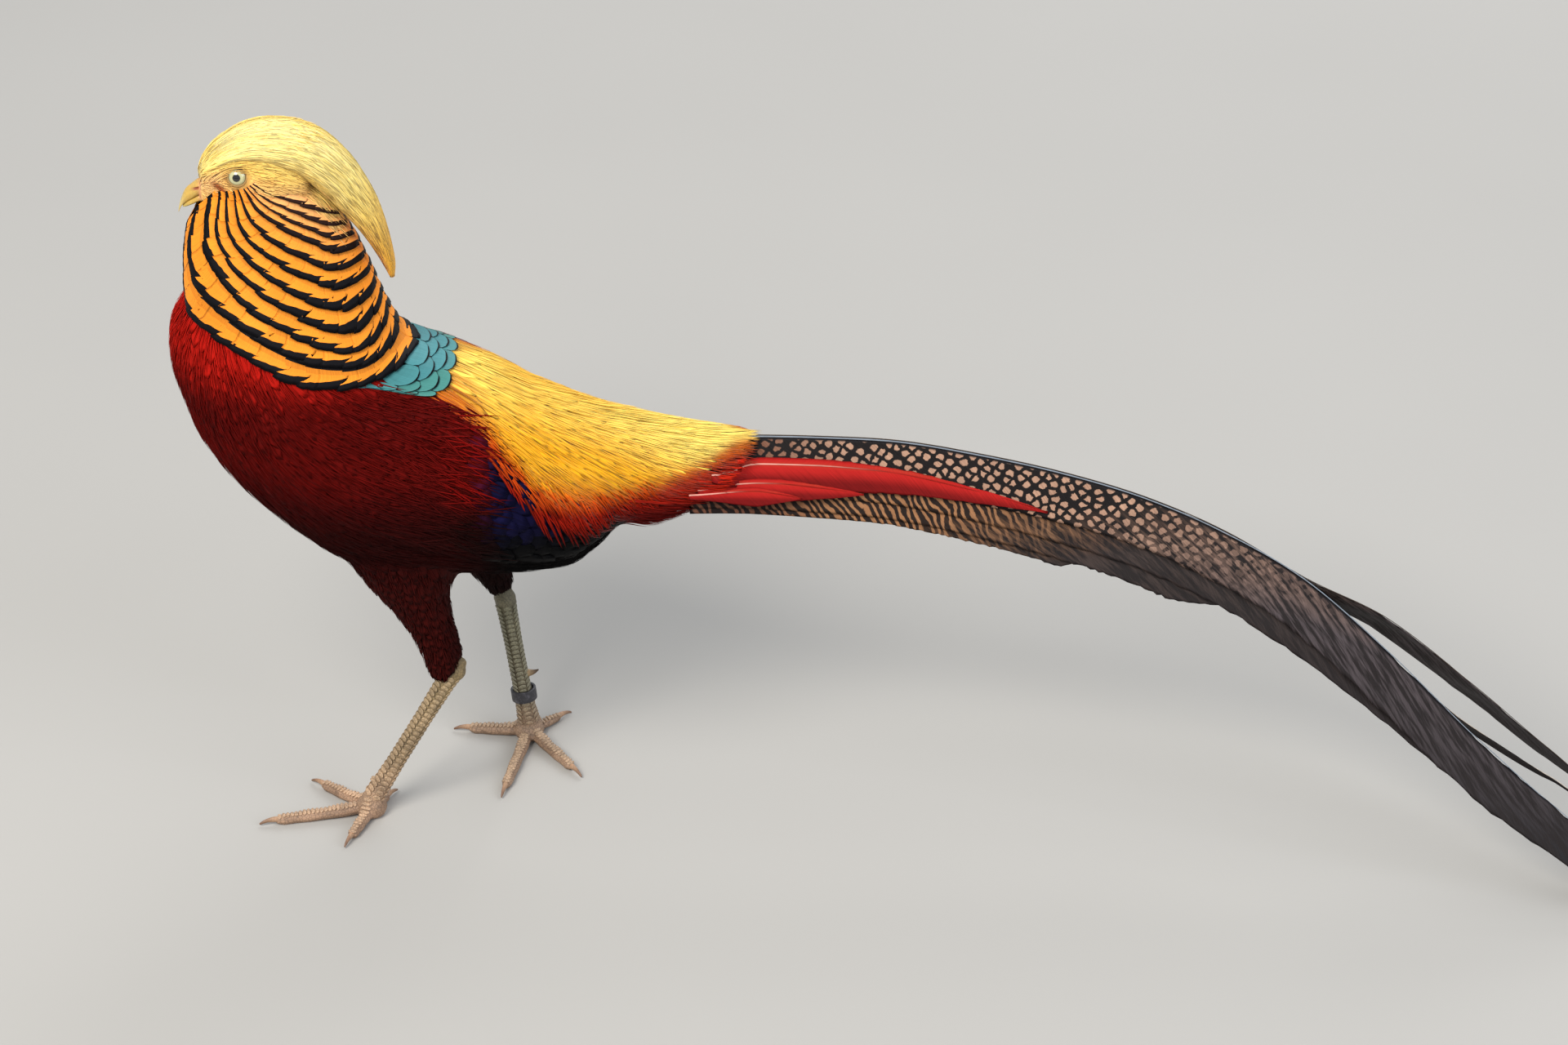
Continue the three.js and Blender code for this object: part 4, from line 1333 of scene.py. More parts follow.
# %% [markdown]
# ## The crest
# The crest is a mane of silk that starts on the forehead and sweeps back over the nape. It is
# given by stations: the outer and inner line in the side view and the half width. Strands run
# along it from station to station at a nearly fixed angle, round a smooth core that fills it.

# %% Stations of the crest: outer x and z, inner x and z, half width
crest_stations = np.array([
    (-109.6, 350.2, -106.5, 348.2, 3.0), (-109.0, 357.0, -102.5, 354.7, 8.2),
    (-104.9, 364.3, -97.0, 357.7, 11.8), (-97.3, 371.3, -90.0, 360.7, 14.4),
    (-88.6, 376.8, -83.5, 361.2, 16.0), (-76.0, 380.0, -75.0, 360.2, 17.0),
    (-60.6, 379.0, -64.5, 355.7, 17.0), (-47.6, 373.3, -56.0, 349.7, 16.0),
    (-36.0, 361.9, -48.8, 341.7, 14.0), (-28.9, 350.4, -42.0, 333.2, 12.2),
    (-22.6, 336.6, -34.8, 324.2, 10.0), (-18.0, 318.4, -27.8, 313.2, 7.0),
    (-15.7, 303.3, -22.0, 301.7, 4.0), (-16.3, 294.5, -18.7, 293.9, 1.1),
])
crest_last = len(crest_stations) - 1
strand_count = 3900
strand_rings = 9
last_root = 9.6
least_span = 3.2
span_range = 3.0
fan = math.radians(175)
core_rings = 50
core_sides = 24


def crest_place(at, angle, depth):
    """The place in the crest at a station number, an angle from its top and a depth share."""
    station = curve(crest_stations, at / crest_last)
    outer = station[..., :2]
    inner = station[..., 2:4]
    middle = (outer + inner) / 2
    arm = (outer - inner) / 2
    x = middle[..., 0] + arm[..., 0] * depth * np.cos(angle)
    z = middle[..., 1] + arm[..., 1] * depth * np.cos(angle)
    y = station[..., 4] * depth * np.sin(angle)
    return np.stack([x, y, z], axis=-1)


def crest_strands(count, dice):
    """Strands all over the crest."""
    root = dice.random(count) ** 0.8 * last_root
    span = least_span + span_range * dice.random(count)
    angle = (dice.random(count) * 2 - 1) * fan
    share = np.linspace(0, 1, strand_rings)
    at = np.minimum(root[:, None] + span[:, None] * share, crest_last)
    drift = (dice.random(count) - 0.5) * 0.35
    turned = angle[:, None] + drift[:, None] * share
    depth = mix(0.9, 0.97 + 0.03 * dice.random(count)[:, None], share)
    spine = crest_place(at, turned, depth)
    normal = unit(spine - crest_place(at, turned, depth * 0 + 0.2))
    half = (0.55 + 0.3 * dice.random(count))[:, None] * (1 - 0.7 * share ** 2)
    gold = tint("#ffe078", count)[:, None] * np.ones((1, strand_rings, 1))
    pale = linear("#fff4b4")
    deep = linear("#f4b640")
    tip = linear("#e09a22")
    # Painted light and shade: strands are paler towards the crest's top and in soft clumps as
    # painted highlights, and deeper orange on its sides and underside as painted shade.
    up = (spine[..., 2] - 340) / 40
    gold = mix(gold, pale, (np.clip(up, 0, 1) * 0.5 * dice.random((count, 1)))[..., None])
    gold = mix(gold, tip, (ramp(at, 8.5, 12) * 0.8)[..., None])
    gold = mix(gold, deep, (ramp(np.abs(turned), 1.4, 2.6) * 0.4)[..., None])
    clump = 0.5 + 0.5 * np.sin(angle * 9 + np.sin(root * 1.7) * 2) * np.sin(angle * 4 + root)
    gold = mix(gold, pale, (clump[:, None] * 0.35 * ramp(at, 1, 4) * ramp(11 - at, 0, 3))[..., None])
    gold = gold * (1 + 0.08 * (dice.random((count, 1, 1)) * 2 - 1))
    return lock_part(spine, normal, half, gold, neck_chart(spine[:, 0]), 0.2)


def tube_part(rings, colour, chart):
    """A closed tube through rings of points, with a middle point at each end."""
    rows, segments = rings.shape[:2]
    ends = np.stack([rings[0].mean(axis=0), rings[-1].mean(axis=0)])
    points = np.concatenate([rings.reshape(-1, 3), ends])
    quads = []
    for r in range(rows - 1):
        for s in range(segments):
            t = (s + 1) % segments
            quads.append((r * segments + s, r * segments + t, (r + 1) * segments + t,
                          (r + 1) * segments + s))
    first = rows * segments
    tris = [(first, (s + 1) % segments, s) for s in range(segments)]
    last = (rows - 1) * segments
    tris += [(first + 1, last + s, last + (s + 1) % segments) for s in range(segments)]
    return {"points": points, "quads": np.array(quads), "tris": np.array(tris),
            "colour": colour(points), "vane": points[:, [1, 0]], "bake": chart(points)}


def core_gold(points):
    """The gold seen between the strands."""
    return tint("#ffd868", len(points))


def crest_core(depth):
    """The crest's core as a closed tube, at a share of the crest's depth."""
    at = np.linspace(0.1, crest_last - 1.0, core_rings)[:, None] * np.ones(core_sides)
    turn = np.linspace(0, 2 * math.pi, core_sides + 1)[:-1] * np.ones((core_rings, 1))
    return tube_part(crest_place(at, turn, depth), core_gold, neck_chart)


crest = [crest_core(0.925), crest_strands(strand_count, np.random.default_rng(51))]
add_parts("crest_strands", crest, silk_gold, "plumage_gold", "crest")

# %% [markdown]
# ## The head under the feathers
# The head shows more than any other part, so its skin is made again at a finer grain: a loft
# through eight stations, pressed and pulled by a few soft dents and swellings. There is a
# socket round the eye, a brow over it, a hollow before it, a swelling over the ear and the
# crease where the bill's corner opens.

# %% Stations of the head (x, top, bottom, half width) and its dents (x, z, reaches, depth)
head_stations = np.array([
    (-109.5, 348.9, 338.3, 5.6), (-106.5, 354.7, 336.7, 8.4), (-100, 363.7, 334.2, 11.6),
    (-92, 370.7, 332.7, 13.9), (-83, 374.2, 331.7, 15.2), (-74, 373.7, 331.7, 15.5),
    (-65, 368.7, 333.2, 14.0), (-57, 358.7, 336.7, 9.5),
])
dents = [
    (-89.1, 355.8, 6.6, 6.6, -0.7), (-90.0, 363.8, 7.5, 1.6, 1.0), (-99.0, 353.5, 4.0, 3.2, -0.9),
    (-74.0, 350.0, 6.5, 5.0, 1.1), (-101.0, 344.6, 5.0, 0.8, -0.6), (-84.0, 361.5, 2.6, 1.4, 0.6),
]
head_rows = 72
head_sides = 72


def head_rings(shrink=0.0):
    """The head's surface with its dents, as rings of points."""
    station = curve(head_stations, np.linspace(0, 1, head_rows))
    angle = np.linspace(0, 2 * math.pi, head_sides + 1)[:-1]
    x = station[:, 0, None] * np.ones(head_sides)
    middle = (station[:, 1] + station[:, 2])[:, None] / 2
    tall = (station[:, 1] - station[:, 2])[:, None] / 2 - shrink
    wide = station[:, 3, None] - shrink
    y = wide * np.sin(angle)
    z = middle + tall * np.cos(angle)
    push = np.zeros_like(x)
    for at_x, at_z, reach_x, reach_z, depth in dents:
        apart = ((x - at_x) / reach_x) ** 2 + ((z - at_z) / reach_z) ** 2
        push += depth * np.exp(-apart) * np.abs(np.sin(angle))
    return np.stack([x, y + np.sign(y) * push, z], axis=-1)


def from_eye(points):
    """How far places are from the eye in the side view."""
    return np.hypot(points[:, 0] - eye_x, points[:, 2] - eye_z)


def face_colour(points):
    """Golden buff, yellower above, with a red-brown wedge from the eye to the gape and a ring of
    painted shade round the eye.
    """
    x, y, z = points.T
    wedge = np.exp(-((x + 98.0) / 4.5) ** 2 - ((z - 349.2 + 0.55 * (x + 98)) / 2.0) ** 2)
    tuft = np.exp(-((x + 74) / 8) ** 2 - ((z - 354.5) / 2.2) ** 2)
    return layers(
        points, "#f4c474",
        ("#fdd670", ramp(z + 0.25 * (x + 89), 354, 363)),
        ("#f3c584", ramp(-95 - x, 0, 6) * ramp(z, 342, 348) * 0.7),
        ("#9c5226", np.clip(wedge * 1.3, 0, 1)),
        # Painted shade: a darker ring round the eye, in its socket.
        ("#b98a48", ramp(7.4 - from_eye(points), 0, 1.4) * 0.7),
        ("#e8a854", tuft * 0.4),
        ("#cf9468", ramp(-108.0 - x, 0, 0.8)),
    )

# %% Skin of the head, and surfaces to lay the face on
head_form = make_mesh("head_form", [tube_part(head_rings(), face_colour, neck_chart)])
head_lie = Surface(head_form)
head_skin_part = tube_part(head_rings(shrink=0.4), face_colour, neck_chart)
add_parts("skin", [skin_part, head_skin_part], crimson_vane, "plumage_crimson", *flesh)

crest_form = make_mesh("crest_form", [crest_core(0.9)])
cape_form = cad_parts["cape"].data
head_wrap = Surface(applied(joined([head_form, crest_form, cape_form], 0.0), [
    ("REMESH", {"mode": "VOXEL", "voxel_size": 0.0012}),
    ("SMOOTH", {"factor": 0.5, "iterations": 5}),
]))
print("head surface:", len(head_lie.faces), "faces, with crest and neck:", len(head_wrap.faces))

# %% [markdown]
# The face's feathers are hardly 4 mm long in front and get longer towards the cheek, where the
# last ones hang over the ruff. The crest's lower edge runs over the eye, so feathers of both
# colours grow along it and hide where the crest's core meets the head.

# %% How the feathers lie on the face and along the crest's edge
face_comb = np.array([
    (-108, 346, 1.0, 0.5), (-98, 354, 1.0, 0.3), (-96, 364, 0.9, 0.5), (-89, 368, 1.0, 0.2),
    (-80, 366, 1.0, -0.1), (-79, 356, 1.0, -0.15), (-84, 348, 0.95, -0.4), (-90, 346, 0.8, -0.6),
    (-98, 345, 0.85, -0.4), (-72, 352, 1.0, -0.3), (-64, 350, 0.95, -0.4), (-100, 336, 0.5, -0.85),
    (-108, 339, 0.6, -0.8), (-70, 366, 1.0, -0.4),
])
face_way = comb_way(face_comb, reach=5.0)
brow_comb = np.array([
    (-106, 352, 0.8, 0.6), (-98, 362, 0.9, 0.45), (-88, 367, 1.0, 0.15), (-76, 366, 1.0, -0.15),
    (-64, 360, 0.9, -0.4), (-54, 350, 0.8, -0.6), (-46, 338, 0.6, -0.8),
])
brow_way = comb_way(brow_comb, reach=7.0)
crest_edge_x = [-109, -100.5, -92.8, -83.5, -71, -58.8, -51.2, -44]
crest_edge_z = [351, 356.7, 361.3, 366.1, 360.8, 350.2, 339, 330.6]


def above_edge(points):
    """How far places lie above the crest's lower edge in the side view."""
    return points[:, 2] - np.interp(points[:, 0], crest_edge_x, crest_edge_z)


def crest_yellow(points):
    """The face's colour below the crest's edge, the crest's own above it."""
    share = ramp(above_edge(points), -4, 5)[:, None]
    return mix(face_colour(points), tint("#ffe07c", len(points)), share)


print("crest's edge:", len(crest_edge_x), "points")

# %% Feathers of the face
face_root_count = 26000
brow_root_count = 60000
face_roots = scatter(head_lie, face_root_count, seed=61)
open_face = (from_eye(face_roots) > 6.0) & (face_roots[:, 0] > -108.8) & (face_roots[:, 0] < -56)
face_roots = face_roots[open_face]
front_face = face_roots[:, 0] < -84
rear_face = (face_roots[:, 0] > -72) & (face_roots[:, 2] > 352)
brow_roots = scatter(head_wrap, brow_root_count, seed=66)
above = above_edge(brow_roots)
brow_roots = brow_roots[(above > -5) & (above < 7) & (brow_roots[:, 0] < -47)]
brow_roots = brow_roots[from_eye(brow_roots) > 6.5]
on_face = {"sway": 0.3, "way": face_way, "chart": neck_chart}
face = [
    loose_locks(face_roots[front_face], 1.0, 3.6, 0.45, face_colour, seed=62, rings=4,
                lift=(-0.3, 0.25), vary=0.08, surface=head_lie, **on_face),
    loose_locks(face_roots[~front_face], 1.15, 6.0, 0.5, face_colour, seed=63, rings=5,
                lift=(-0.3, 0.5), vary=0.08, surface=head_lie, **on_face),
    loose_locks(face_roots[rear_face], 1.7, 15.0, 0.55, face_colour, seed=64, rings=7,
                lift=(-0.2, 1.4), vary=0.1, surface=head_wrap, **on_face),
    loose_locks(brow_roots, 1.15, 15.0, 0.5, crest_yellow, seed=65, rings=7,
                lift=(-0.3, 1.1), vary=0.06, sway=0.2, way=brow_way, chart=neck_chart,
                surface=head_wrap),
]
add_parts("face_feathers", face, face_down, "plumage_face")

# %% [markdown]
# ## The eyes
# An eye is a ball of 11 mm, of which 8 mm show between the lids. The cock's iris is cream,
# with fine rays, and dark at both rims. The rings of the ball are laid round its own axis, so
# that the pupil's edge falls on a ring and stays sharp at any size. A clear coat makes it wet.

# %% Eyeballs with rings on the edges of pupil and iris
pupil = 1.8
iris = 4.0
eye_sides = 48
ring_angles = np.concatenate([
    np.linspace(0.12, math.asin(pupil / eye_radius), 4),
    np.linspace(math.asin(pupil / eye_radius) + 0.03, math.asin(iris / eye_radius), 8),
    np.linspace(math.asin(iris / eye_radius) + 0.04, math.pi - 0.15, 10),
])


def eye_frame(side):
    """The eye's middle and its axis, outward first."""
    middle = np.array([eye_x, side * eye_out, eye_z])
    axis = unit(np.array([-0.1, side * 1.0, 0.22]))
    right = unit(np.cross(axis, [0.0, 0.0, 1.0]))
    return middle, axis, right, np.cross(right, axis)


def around(middle, axis, right, top, angle, spin, radius):
    """Points on a ball at an angle from the axis and a spin about it."""
    out = axis * np.cos(angle)[..., None]
    flat = right * np.cos(spin)[..., None] + top * np.sin(spin)[..., None]
    return middle + radius * (out + flat * np.sin(angle)[..., None])


def eye_part(side):
    """One closed eyeball with its colours by ring."""
    spins = np.linspace(0, 2 * math.pi, eye_sides + 1)[:-1]
    grid = ring_angles[:, None] * np.ones(eye_sides)
    rings = around(*eye_frame(side), grid, spins * np.ones((len(ring_angles), 1)), eye_radius)
    if side > 0:
        rings = rings[::-1]
    dice = np.random.default_rng(71)
    rays = 1 + 0.12 * (dice.random(eye_sides) - 0.5)

    def eye_colour(points):
        middle, axis, _, _ = eye_frame(side)
        way = unit(points - middle)
        angle = np.arccos(np.clip((way * axis).sum(axis=1), -1, 1))
        across = np.sin(angle) * eye_radius
        colours = tint("#c2bf90", len(points))
        colours[:len(colours) - 2] *= np.tile(rays, len(ring_angles))[:, None]
        colours = blend_rows(colours, "#8f8a5c", ramp(across, iris - 1.0, iris - 0.1) * 0.6)
        colours = blend_rows(colours, "#77734e", ramp(-across, -pupil - 0.5, -pupil) * 0.8)
        colours = blend_rows(colours, "#1c150f", (across > iris + 0.05) | (angle > 1.5))
        return blend_rows(colours, "#050505", across < pupil + 0.05)

    return tube_part(rings, eye_colour, neck_chart)


def eye_material():
    """A wet eye: the painted rings under a clear film."""
    material, tree = new_material("wet_eye_with_cream_iris")
    chart = add(tree, "ShaderNodeTexCoord")
    cloud = noise(tree, chart.outputs["Object"], 1800.0, 2.0)
    tone = add(tree, "ShaderNodeMapRange", {
        "Value": cloud, "To Min": 0.9, "To Max": 1.1,
    })
    ground = add(tree, "ShaderNodeVectorMath", {
        0: painted(tree), "Scale": tone,
    }, operation="SCALE")
    shader = add(tree, "ShaderNodeBsdfPrincipled", {
        "Base Color": ground, "Roughness": 0.12, "Coat Weight": 1.0,
        "Coat Roughness": 0.03,
    })
    finish_material(tree, shader)
    return material


wet_eye = eye_material()
for name, side in (("eye_left", -1), ("eye_right", 1)):
    add_parts(f"{name}_ball", [eye_part(side)], wet_eye, "eye_iris", name)

# %% [markdown]
# A lid is a fold of bare skin. Here it is a ring that lies on the ball just outside the iris,
# thicker above than below, a little wider than high, with fine wrinkles round it.

# %% Lids
lid_open = math.asin(4.12 / eye_radius)
lid_rings = 96
lid_sides = 14


def hoop_part(rings, colour, chart):
    """A closed hoop through rings of points, with the last ring joined to the first."""
    count, sides = rings.shape[:2]
    quads = []
    for i in range(count):
        n = (i + 1) % count
        for j in range(sides):
            m = (j + 1) % sides
            quads.append((i * sides + j, n * sides + j, n * sides + m, i * sides + m))
    points = rings.reshape(-1, 3)
    return {"points": points, "quads": np.array(quads), "tris": np.zeros((0, 3), dtype=int),
            "colour": colour, "vane": points[:, [0, 2]], "bake": chart(points)}


def lid_part(side):
    """A closed ring of skin round one eye."""
    spins = np.linspace(0, 2 * math.pi, lid_rings + 1)[:-1]
    turns = np.linspace(0, 2 * math.pi, lid_sides + 1)[:-1]
    middle, axis, right, top = eye_frame(side)
    upper = np.clip(np.sin(spins), 0, 1)
    opening = lid_open * (1 + 0.03 * np.abs(np.cos(spins)) - 0.05 * upper)
    thick = 0.55 + 0.25 * upper
    wrinkle = 1 + 0.1 * np.sin(spins * 23) * np.sin(spins * 7 + 1)
    angle = opening[:, None] + (1.1 + np.cos(turns)) * (thick * wrinkle)[:, None] / eye_radius
    radius = eye_radius + 0.1 + np.sin(turns) * (thick * wrinkle)[:, None] * 0.8
    spin = spins[:, None] * np.ones(lid_sides)
    grid = around(middle, axis, right, top, angle, spin, 1.0) - middle
    # Painted shade: the upper lid is darker, under the brow.
    shade = blend_rows(tint("#a88554", lid_rings * lid_sides), "#4a3320",
                       np.repeat(upper, lid_sides) * 0.8)
    return hoop_part(middle + grid * radius[..., None], shade, neck_chart)


add_parts("eyelids", [lid_part(side) for side in (-1, 1)], face_down, "plumage_face")

# %% [markdown]
# ## The bill
# The bill is horn over bone: the upper half hooks over the lower and has a slit of a nostril
# under a soft flap. Horn is translucent at its edges and has faint growth lines, so the
# colour runs from a pinkish base to a yellow tip and a fine wave crosses it.

# %% Stations of the bill: top x and z, bottom x and z, half width
upper_bill = np.array([
    (-104.5, 350.7, -104.5, 341.7, 5.4), (-109.5, 348.7, -109.5, 341.3, 5.0),
    (-113.0, 346.3, -113.0, 339.1, 4.3), (-116.6, 343.1, -116.6, 336.6, 3.3),
    (-119.0, 338.1, -119.0, 333.9, 2.0), (-120.4, 333.3, -120.3, 331.1, 0.9),
    (-120.8, 330.7, -120.7, 330.1, 0.35),
])
lower_bill = np.array([
    (-104.5, 341.7, -104.5, 336.5, 4.7), (-109.5, 341.3, -109.5, 336.9, 4.4),
    (-113.0, 339.2, -113.0, 335.3, 3.8), (-116.4, 336.8, -116.4, 333.7, 2.7),
    (-118.4, 334.4, -118.4, 333.2, 1.1),
])
nostril = (-110.6, 345.4)
nostril_slope = 0.35
bill_rows = 60
bill_sides = 64


def nostril_at(x, z, high, long, tall):
    """A soft spot at the nostril, or high above it, with a reach along and across its slit."""
    rise = z - nostril[1] - high - nostril_slope * (x - nostril[0])
    return np.exp(-((x - nostril[0]) / long) ** 2 - (rise / tall) ** 2)


def bill_rings(stations, flat_side):
    """Rings of a bill half with straight walls on the side where the halves meet, and the
    nostril pressed in."""
    station = curve(stations, np.linspace(0, 1, bill_rows))
    angle = np.linspace(0, 2 * math.pi, bill_sides + 1)[:-1]
    power = np.where(np.cos(angle) * flat_side > 0, 0.35, 1.25)
    lean = np.sign(np.sin(angle)) * np.abs(np.sin(angle)) ** power
    middle = (station[:, :2] + station[:, 2:4]) / 2
    arm = (station[:, :2] - station[:, 2:4]) / 2
    x = middle[:, 0, None] + arm[:, 0, None] * np.cos(angle)
    z = middle[:, 1, None] + arm[:, 1, None] * np.cos(angle)
    y = station[:, 4, None] * lean
    slit = nostril_at(x, z, 0.0, 2.1, 0.55)
    flap = nostril_at(x, z, 1.3, 2.8, 0.8)
    y = y + np.sign(y) * (0.3 * flap - 1.1 * slit)
    return np.stack([x, y, z], axis=-1)


def bill_colour(points):
    """Pinkish at the base, horn yellow to the tip, greener below, and darker in the nostril's slit
    as painted shade.
    """
    x, y, z = points.T
    return layers(
        points, "#c8a450",
        ("#b5a052", ramp(338 - z, 0, 4) * 0.7),
        ("#d2946c", ramp(x, -112, -107) * 0.8),
        ("#d4bf80", ramp(-116 - x, 0, 4) * 0.7),
        # Painted shade in the nostril's slit.
        ("#8f4226", np.clip(nostril_at(x, z, 0.0, 2.3, 0.7) * 1.3, 0, 1)),
    )


def horn(name, roughness, streak, bump):
    """Horn: painted colour with fine growth lines and a soft polish."""
    material, tree = new_material(name)
    chart = add(tree, "ShaderNodeTexCoord")
    stretched = add(tree, "ShaderNodeMapping", {
        "Vector": chart.outputs["Object"], "Scale": (1500, 500, 500),
    })
    lines = noise(tree, stretched, 1.0, 3.0)
    tone = grade(tree, lines, 0.3, 0.7, 1 - streak, 1 + streak)
    ground = add(tree, "ShaderNodeVectorMath", {
        0: painted(tree), "Scale": tone,
    }, operation="SCALE")
    relief = add(tree, "ShaderNodeBump", {
        "Height": lines, "Strength": bump, "Distance": 0.0002,
    })
    shader = add(tree, "ShaderNodeBsdfPrincipled", {
        "Base Color": ground, "Roughness": roughness,
        "Normal": relief, "Subsurface Weight": 0.15,
        "Subsurface Radius": (0.0012, 0.0006, 0.0003), "Subsurface Scale": 1.0,
    })
    finish_material(tree, shader)
    return material


bill_horn = horn("polished_yellow_horn", roughness=0.32, streak=0.1, bump=0.25)
claw_horn = horn("dull_brown_horn", roughness=0.5, streak=0.2, bump=0.5)
for name, stations, flat_side in (("bill_upper", upper_bill, -1),
                                  ("bill_lower", lower_bill, 1)):
    half_bill = tube_part(bill_rings(stations, flat_side), bill_colour, neck_chart)
    add_parts(f"{name}_horn", [half_bill], bill_horn, "horn_bill", name)

# %% [markdown]
# ## The tail
# Each feather lies on a flank of the roof at its own distance below the ridge. The two central
# feathers carry buff spots in a dark net, the outer ones slanting bars, and along the ridge the
# near central feather's shaft is painted pale grey, a painted highlight. Every feather starts a
# little before its root in the frame, so that it comes out from under the plumage and shows no
# cut end.

# %% A tail feather as a closed vane with a shaft
tail_thick = 0.3
vane_hump = 0.35
ridge_height = 0.12
ripple_height = 0.25
arc_stretch = 1.12
cover_depth = 1.6
off_the_vane = -50.0


def tail_vane(side, ridge, steps, step, inner, outer, layer, tip, root, shaft_at, seed,
              lead, rows=130, columns=13, centred=False):
    """The vane of one tail feather and the line of its shaft. Its pattern map is in
    millimetres along and across. It starts a lead before the frame's feather, and a centred
    one narrows there and lies on the body."""
    dice = np.random.default_rng(seed)
    x = np.linspace(tail_start - lead, tail_start + steps * step, rows)
    share = (x - tail_start) / (steps * step)
    point, down, normal = tail_frame(side, ridge, x)
    taper = np.clip((1 - share) / tip, 0, 1) ** 0.75
    opening = root + (1 - root) * np.clip((x - tail_start) / root_length, 0, 1)
    full = (outer - inner) / 2 * opening
    narrow = mix(0.3, 1.0, ramp(x, tail_start - lead - 1, tail_start + 8))
    half = np.maximum(full * taper * (narrow if centred else 1.0), 0.6)
    middle = inner * opening + (full if centred else half)
    stand = np.maximum(tail_start - x, 0) * root_stand - layer * layer_step
    base = point + down * middle[:, None] + normal * stand[:, None]
    if centred:
        on_skin, out = body.snap(base)
        sunk = np.maximum(cover_depth - ((base - on_skin) * out).sum(axis=1), 0)
        base = base + out * (sunk * ramp(tail_start + 8 - x, 0, 30))[:, None]
    u = np.linspace(-1, 1, columns)
    ragged = 1 - 0.1 * dice.random((rows, 2)) * ramp(share, 0.1, 0.5)[:, None]
    edge = np.where(u[None] < 0, ragged[:, :1], ragged[:, 1:])
    edge = np.where(np.abs(u)[None] > 0.99, edge, 1.0)
    across = half[:, None] * u[None] * edge
    grid = base[:, None] + down[:, None] * across[..., None]
    ridges = np.where(np.arange(columns) % 2 == 0, 1, -1)
    hump = vane_hump * (1 - u ** 2)[None] + ridge_height * ridges[None]
    ripple = ripple_height * np.sin(x[:, None] / 9.0 + across * 0.35 + seed)
    grid = grid + normal[:, None] * (hump + ripple * ramp(share, 0.15, 0.6)[:, None])[..., None]
    normals = np.broadcast_to(normal[:, None], grid.shape)
    along = (x - tail_start) * arc_stretch
    spine = grid[:, columns // 2]
    shades = np.ones(grid.shape)
    if side > 0:
        grid = grid[:, ::-1]
        normals = normals[:, ::-1]
        across = across[:, ::-1]
    part = sheet_part(grid[None], normals[None], u, share, tail_thick, shades[None],
                      np.array([[0.5, 0.5]]), spine[None])
    inside = np.zeros((rows, columns), dtype=bool)
    inside[1:-1, 1:-1] = True
    wide = np.concatenate([across.reshape(-1), across[inside]])
    long = np.broadcast_to(along[:, None], across.shape)
    long = np.concatenate([long.reshape(-1), long[inside]])
    shaft_far = wide - half.max() * shaft_at
    part["vane"] = np.stack([long - np.abs(shaft_far) * 1.3, np.abs(shaft_far)], axis=1)
    part["spots"] = np.stack([wide + (inner + outer) / 2, long], axis=1)
    place = np.tile((u + 1) / 2, (rows, 1))
    place = np.concatenate([place.reshape(-1), place[inside]])
    part["bake"] = np.stack([place, (long - long.min()) / np.ptp(long)], axis=1) * 0.98 + 0.01
    rise = 0.15 + 0.35 * (1 - shaft_at ** 2)
    shaft_line = base + down * (half * shaft_at)[:, None] + normal * rise
    return part, shaft_line, down, normal, half


def shaft_part(line, down, normal, colour, end_colour, thick=0.42):
    """A closed tapering quill along the line, fading to its end colour by mid length. Its
    pattern map lies far off the vane's, where the material shows the painted colour."""
    rows = len(line)
    radius = np.linspace(thick, 0.15, rows)
    spins = np.linspace(0, 2 * math.pi, 9)[:-1]
    rings = (line[:, None] + down[:, None] * (np.cos(spins)[None] * radius[:, None])[..., None]
             + normal[:, None] * (np.sin(spins)[None] * radius[:, None] * 0.8)[..., None])
    span = line[-1, 0] - line[0, 0]

    def shade(points):
        return layers(points, colour,
                      (end_colour, ramp((points[:, 0] - line[0, 0]) / span, 0.15, 0.55)))

    part = tube_part(rings, shade, body_chart)
    part["spots"] = np.full((len(part["points"]), 2), off_the_vane)
    return part

# %% [markdown]
# The tail's pattern is drawn on a map in millimetres. Spots are the cells of a Voronoi texture,
# cut round; bars are a sine wave along the feather, bent and broken by noise. Both fade to
# brown streaks along the barbs where the real feathers lose their marks, and then to grey.

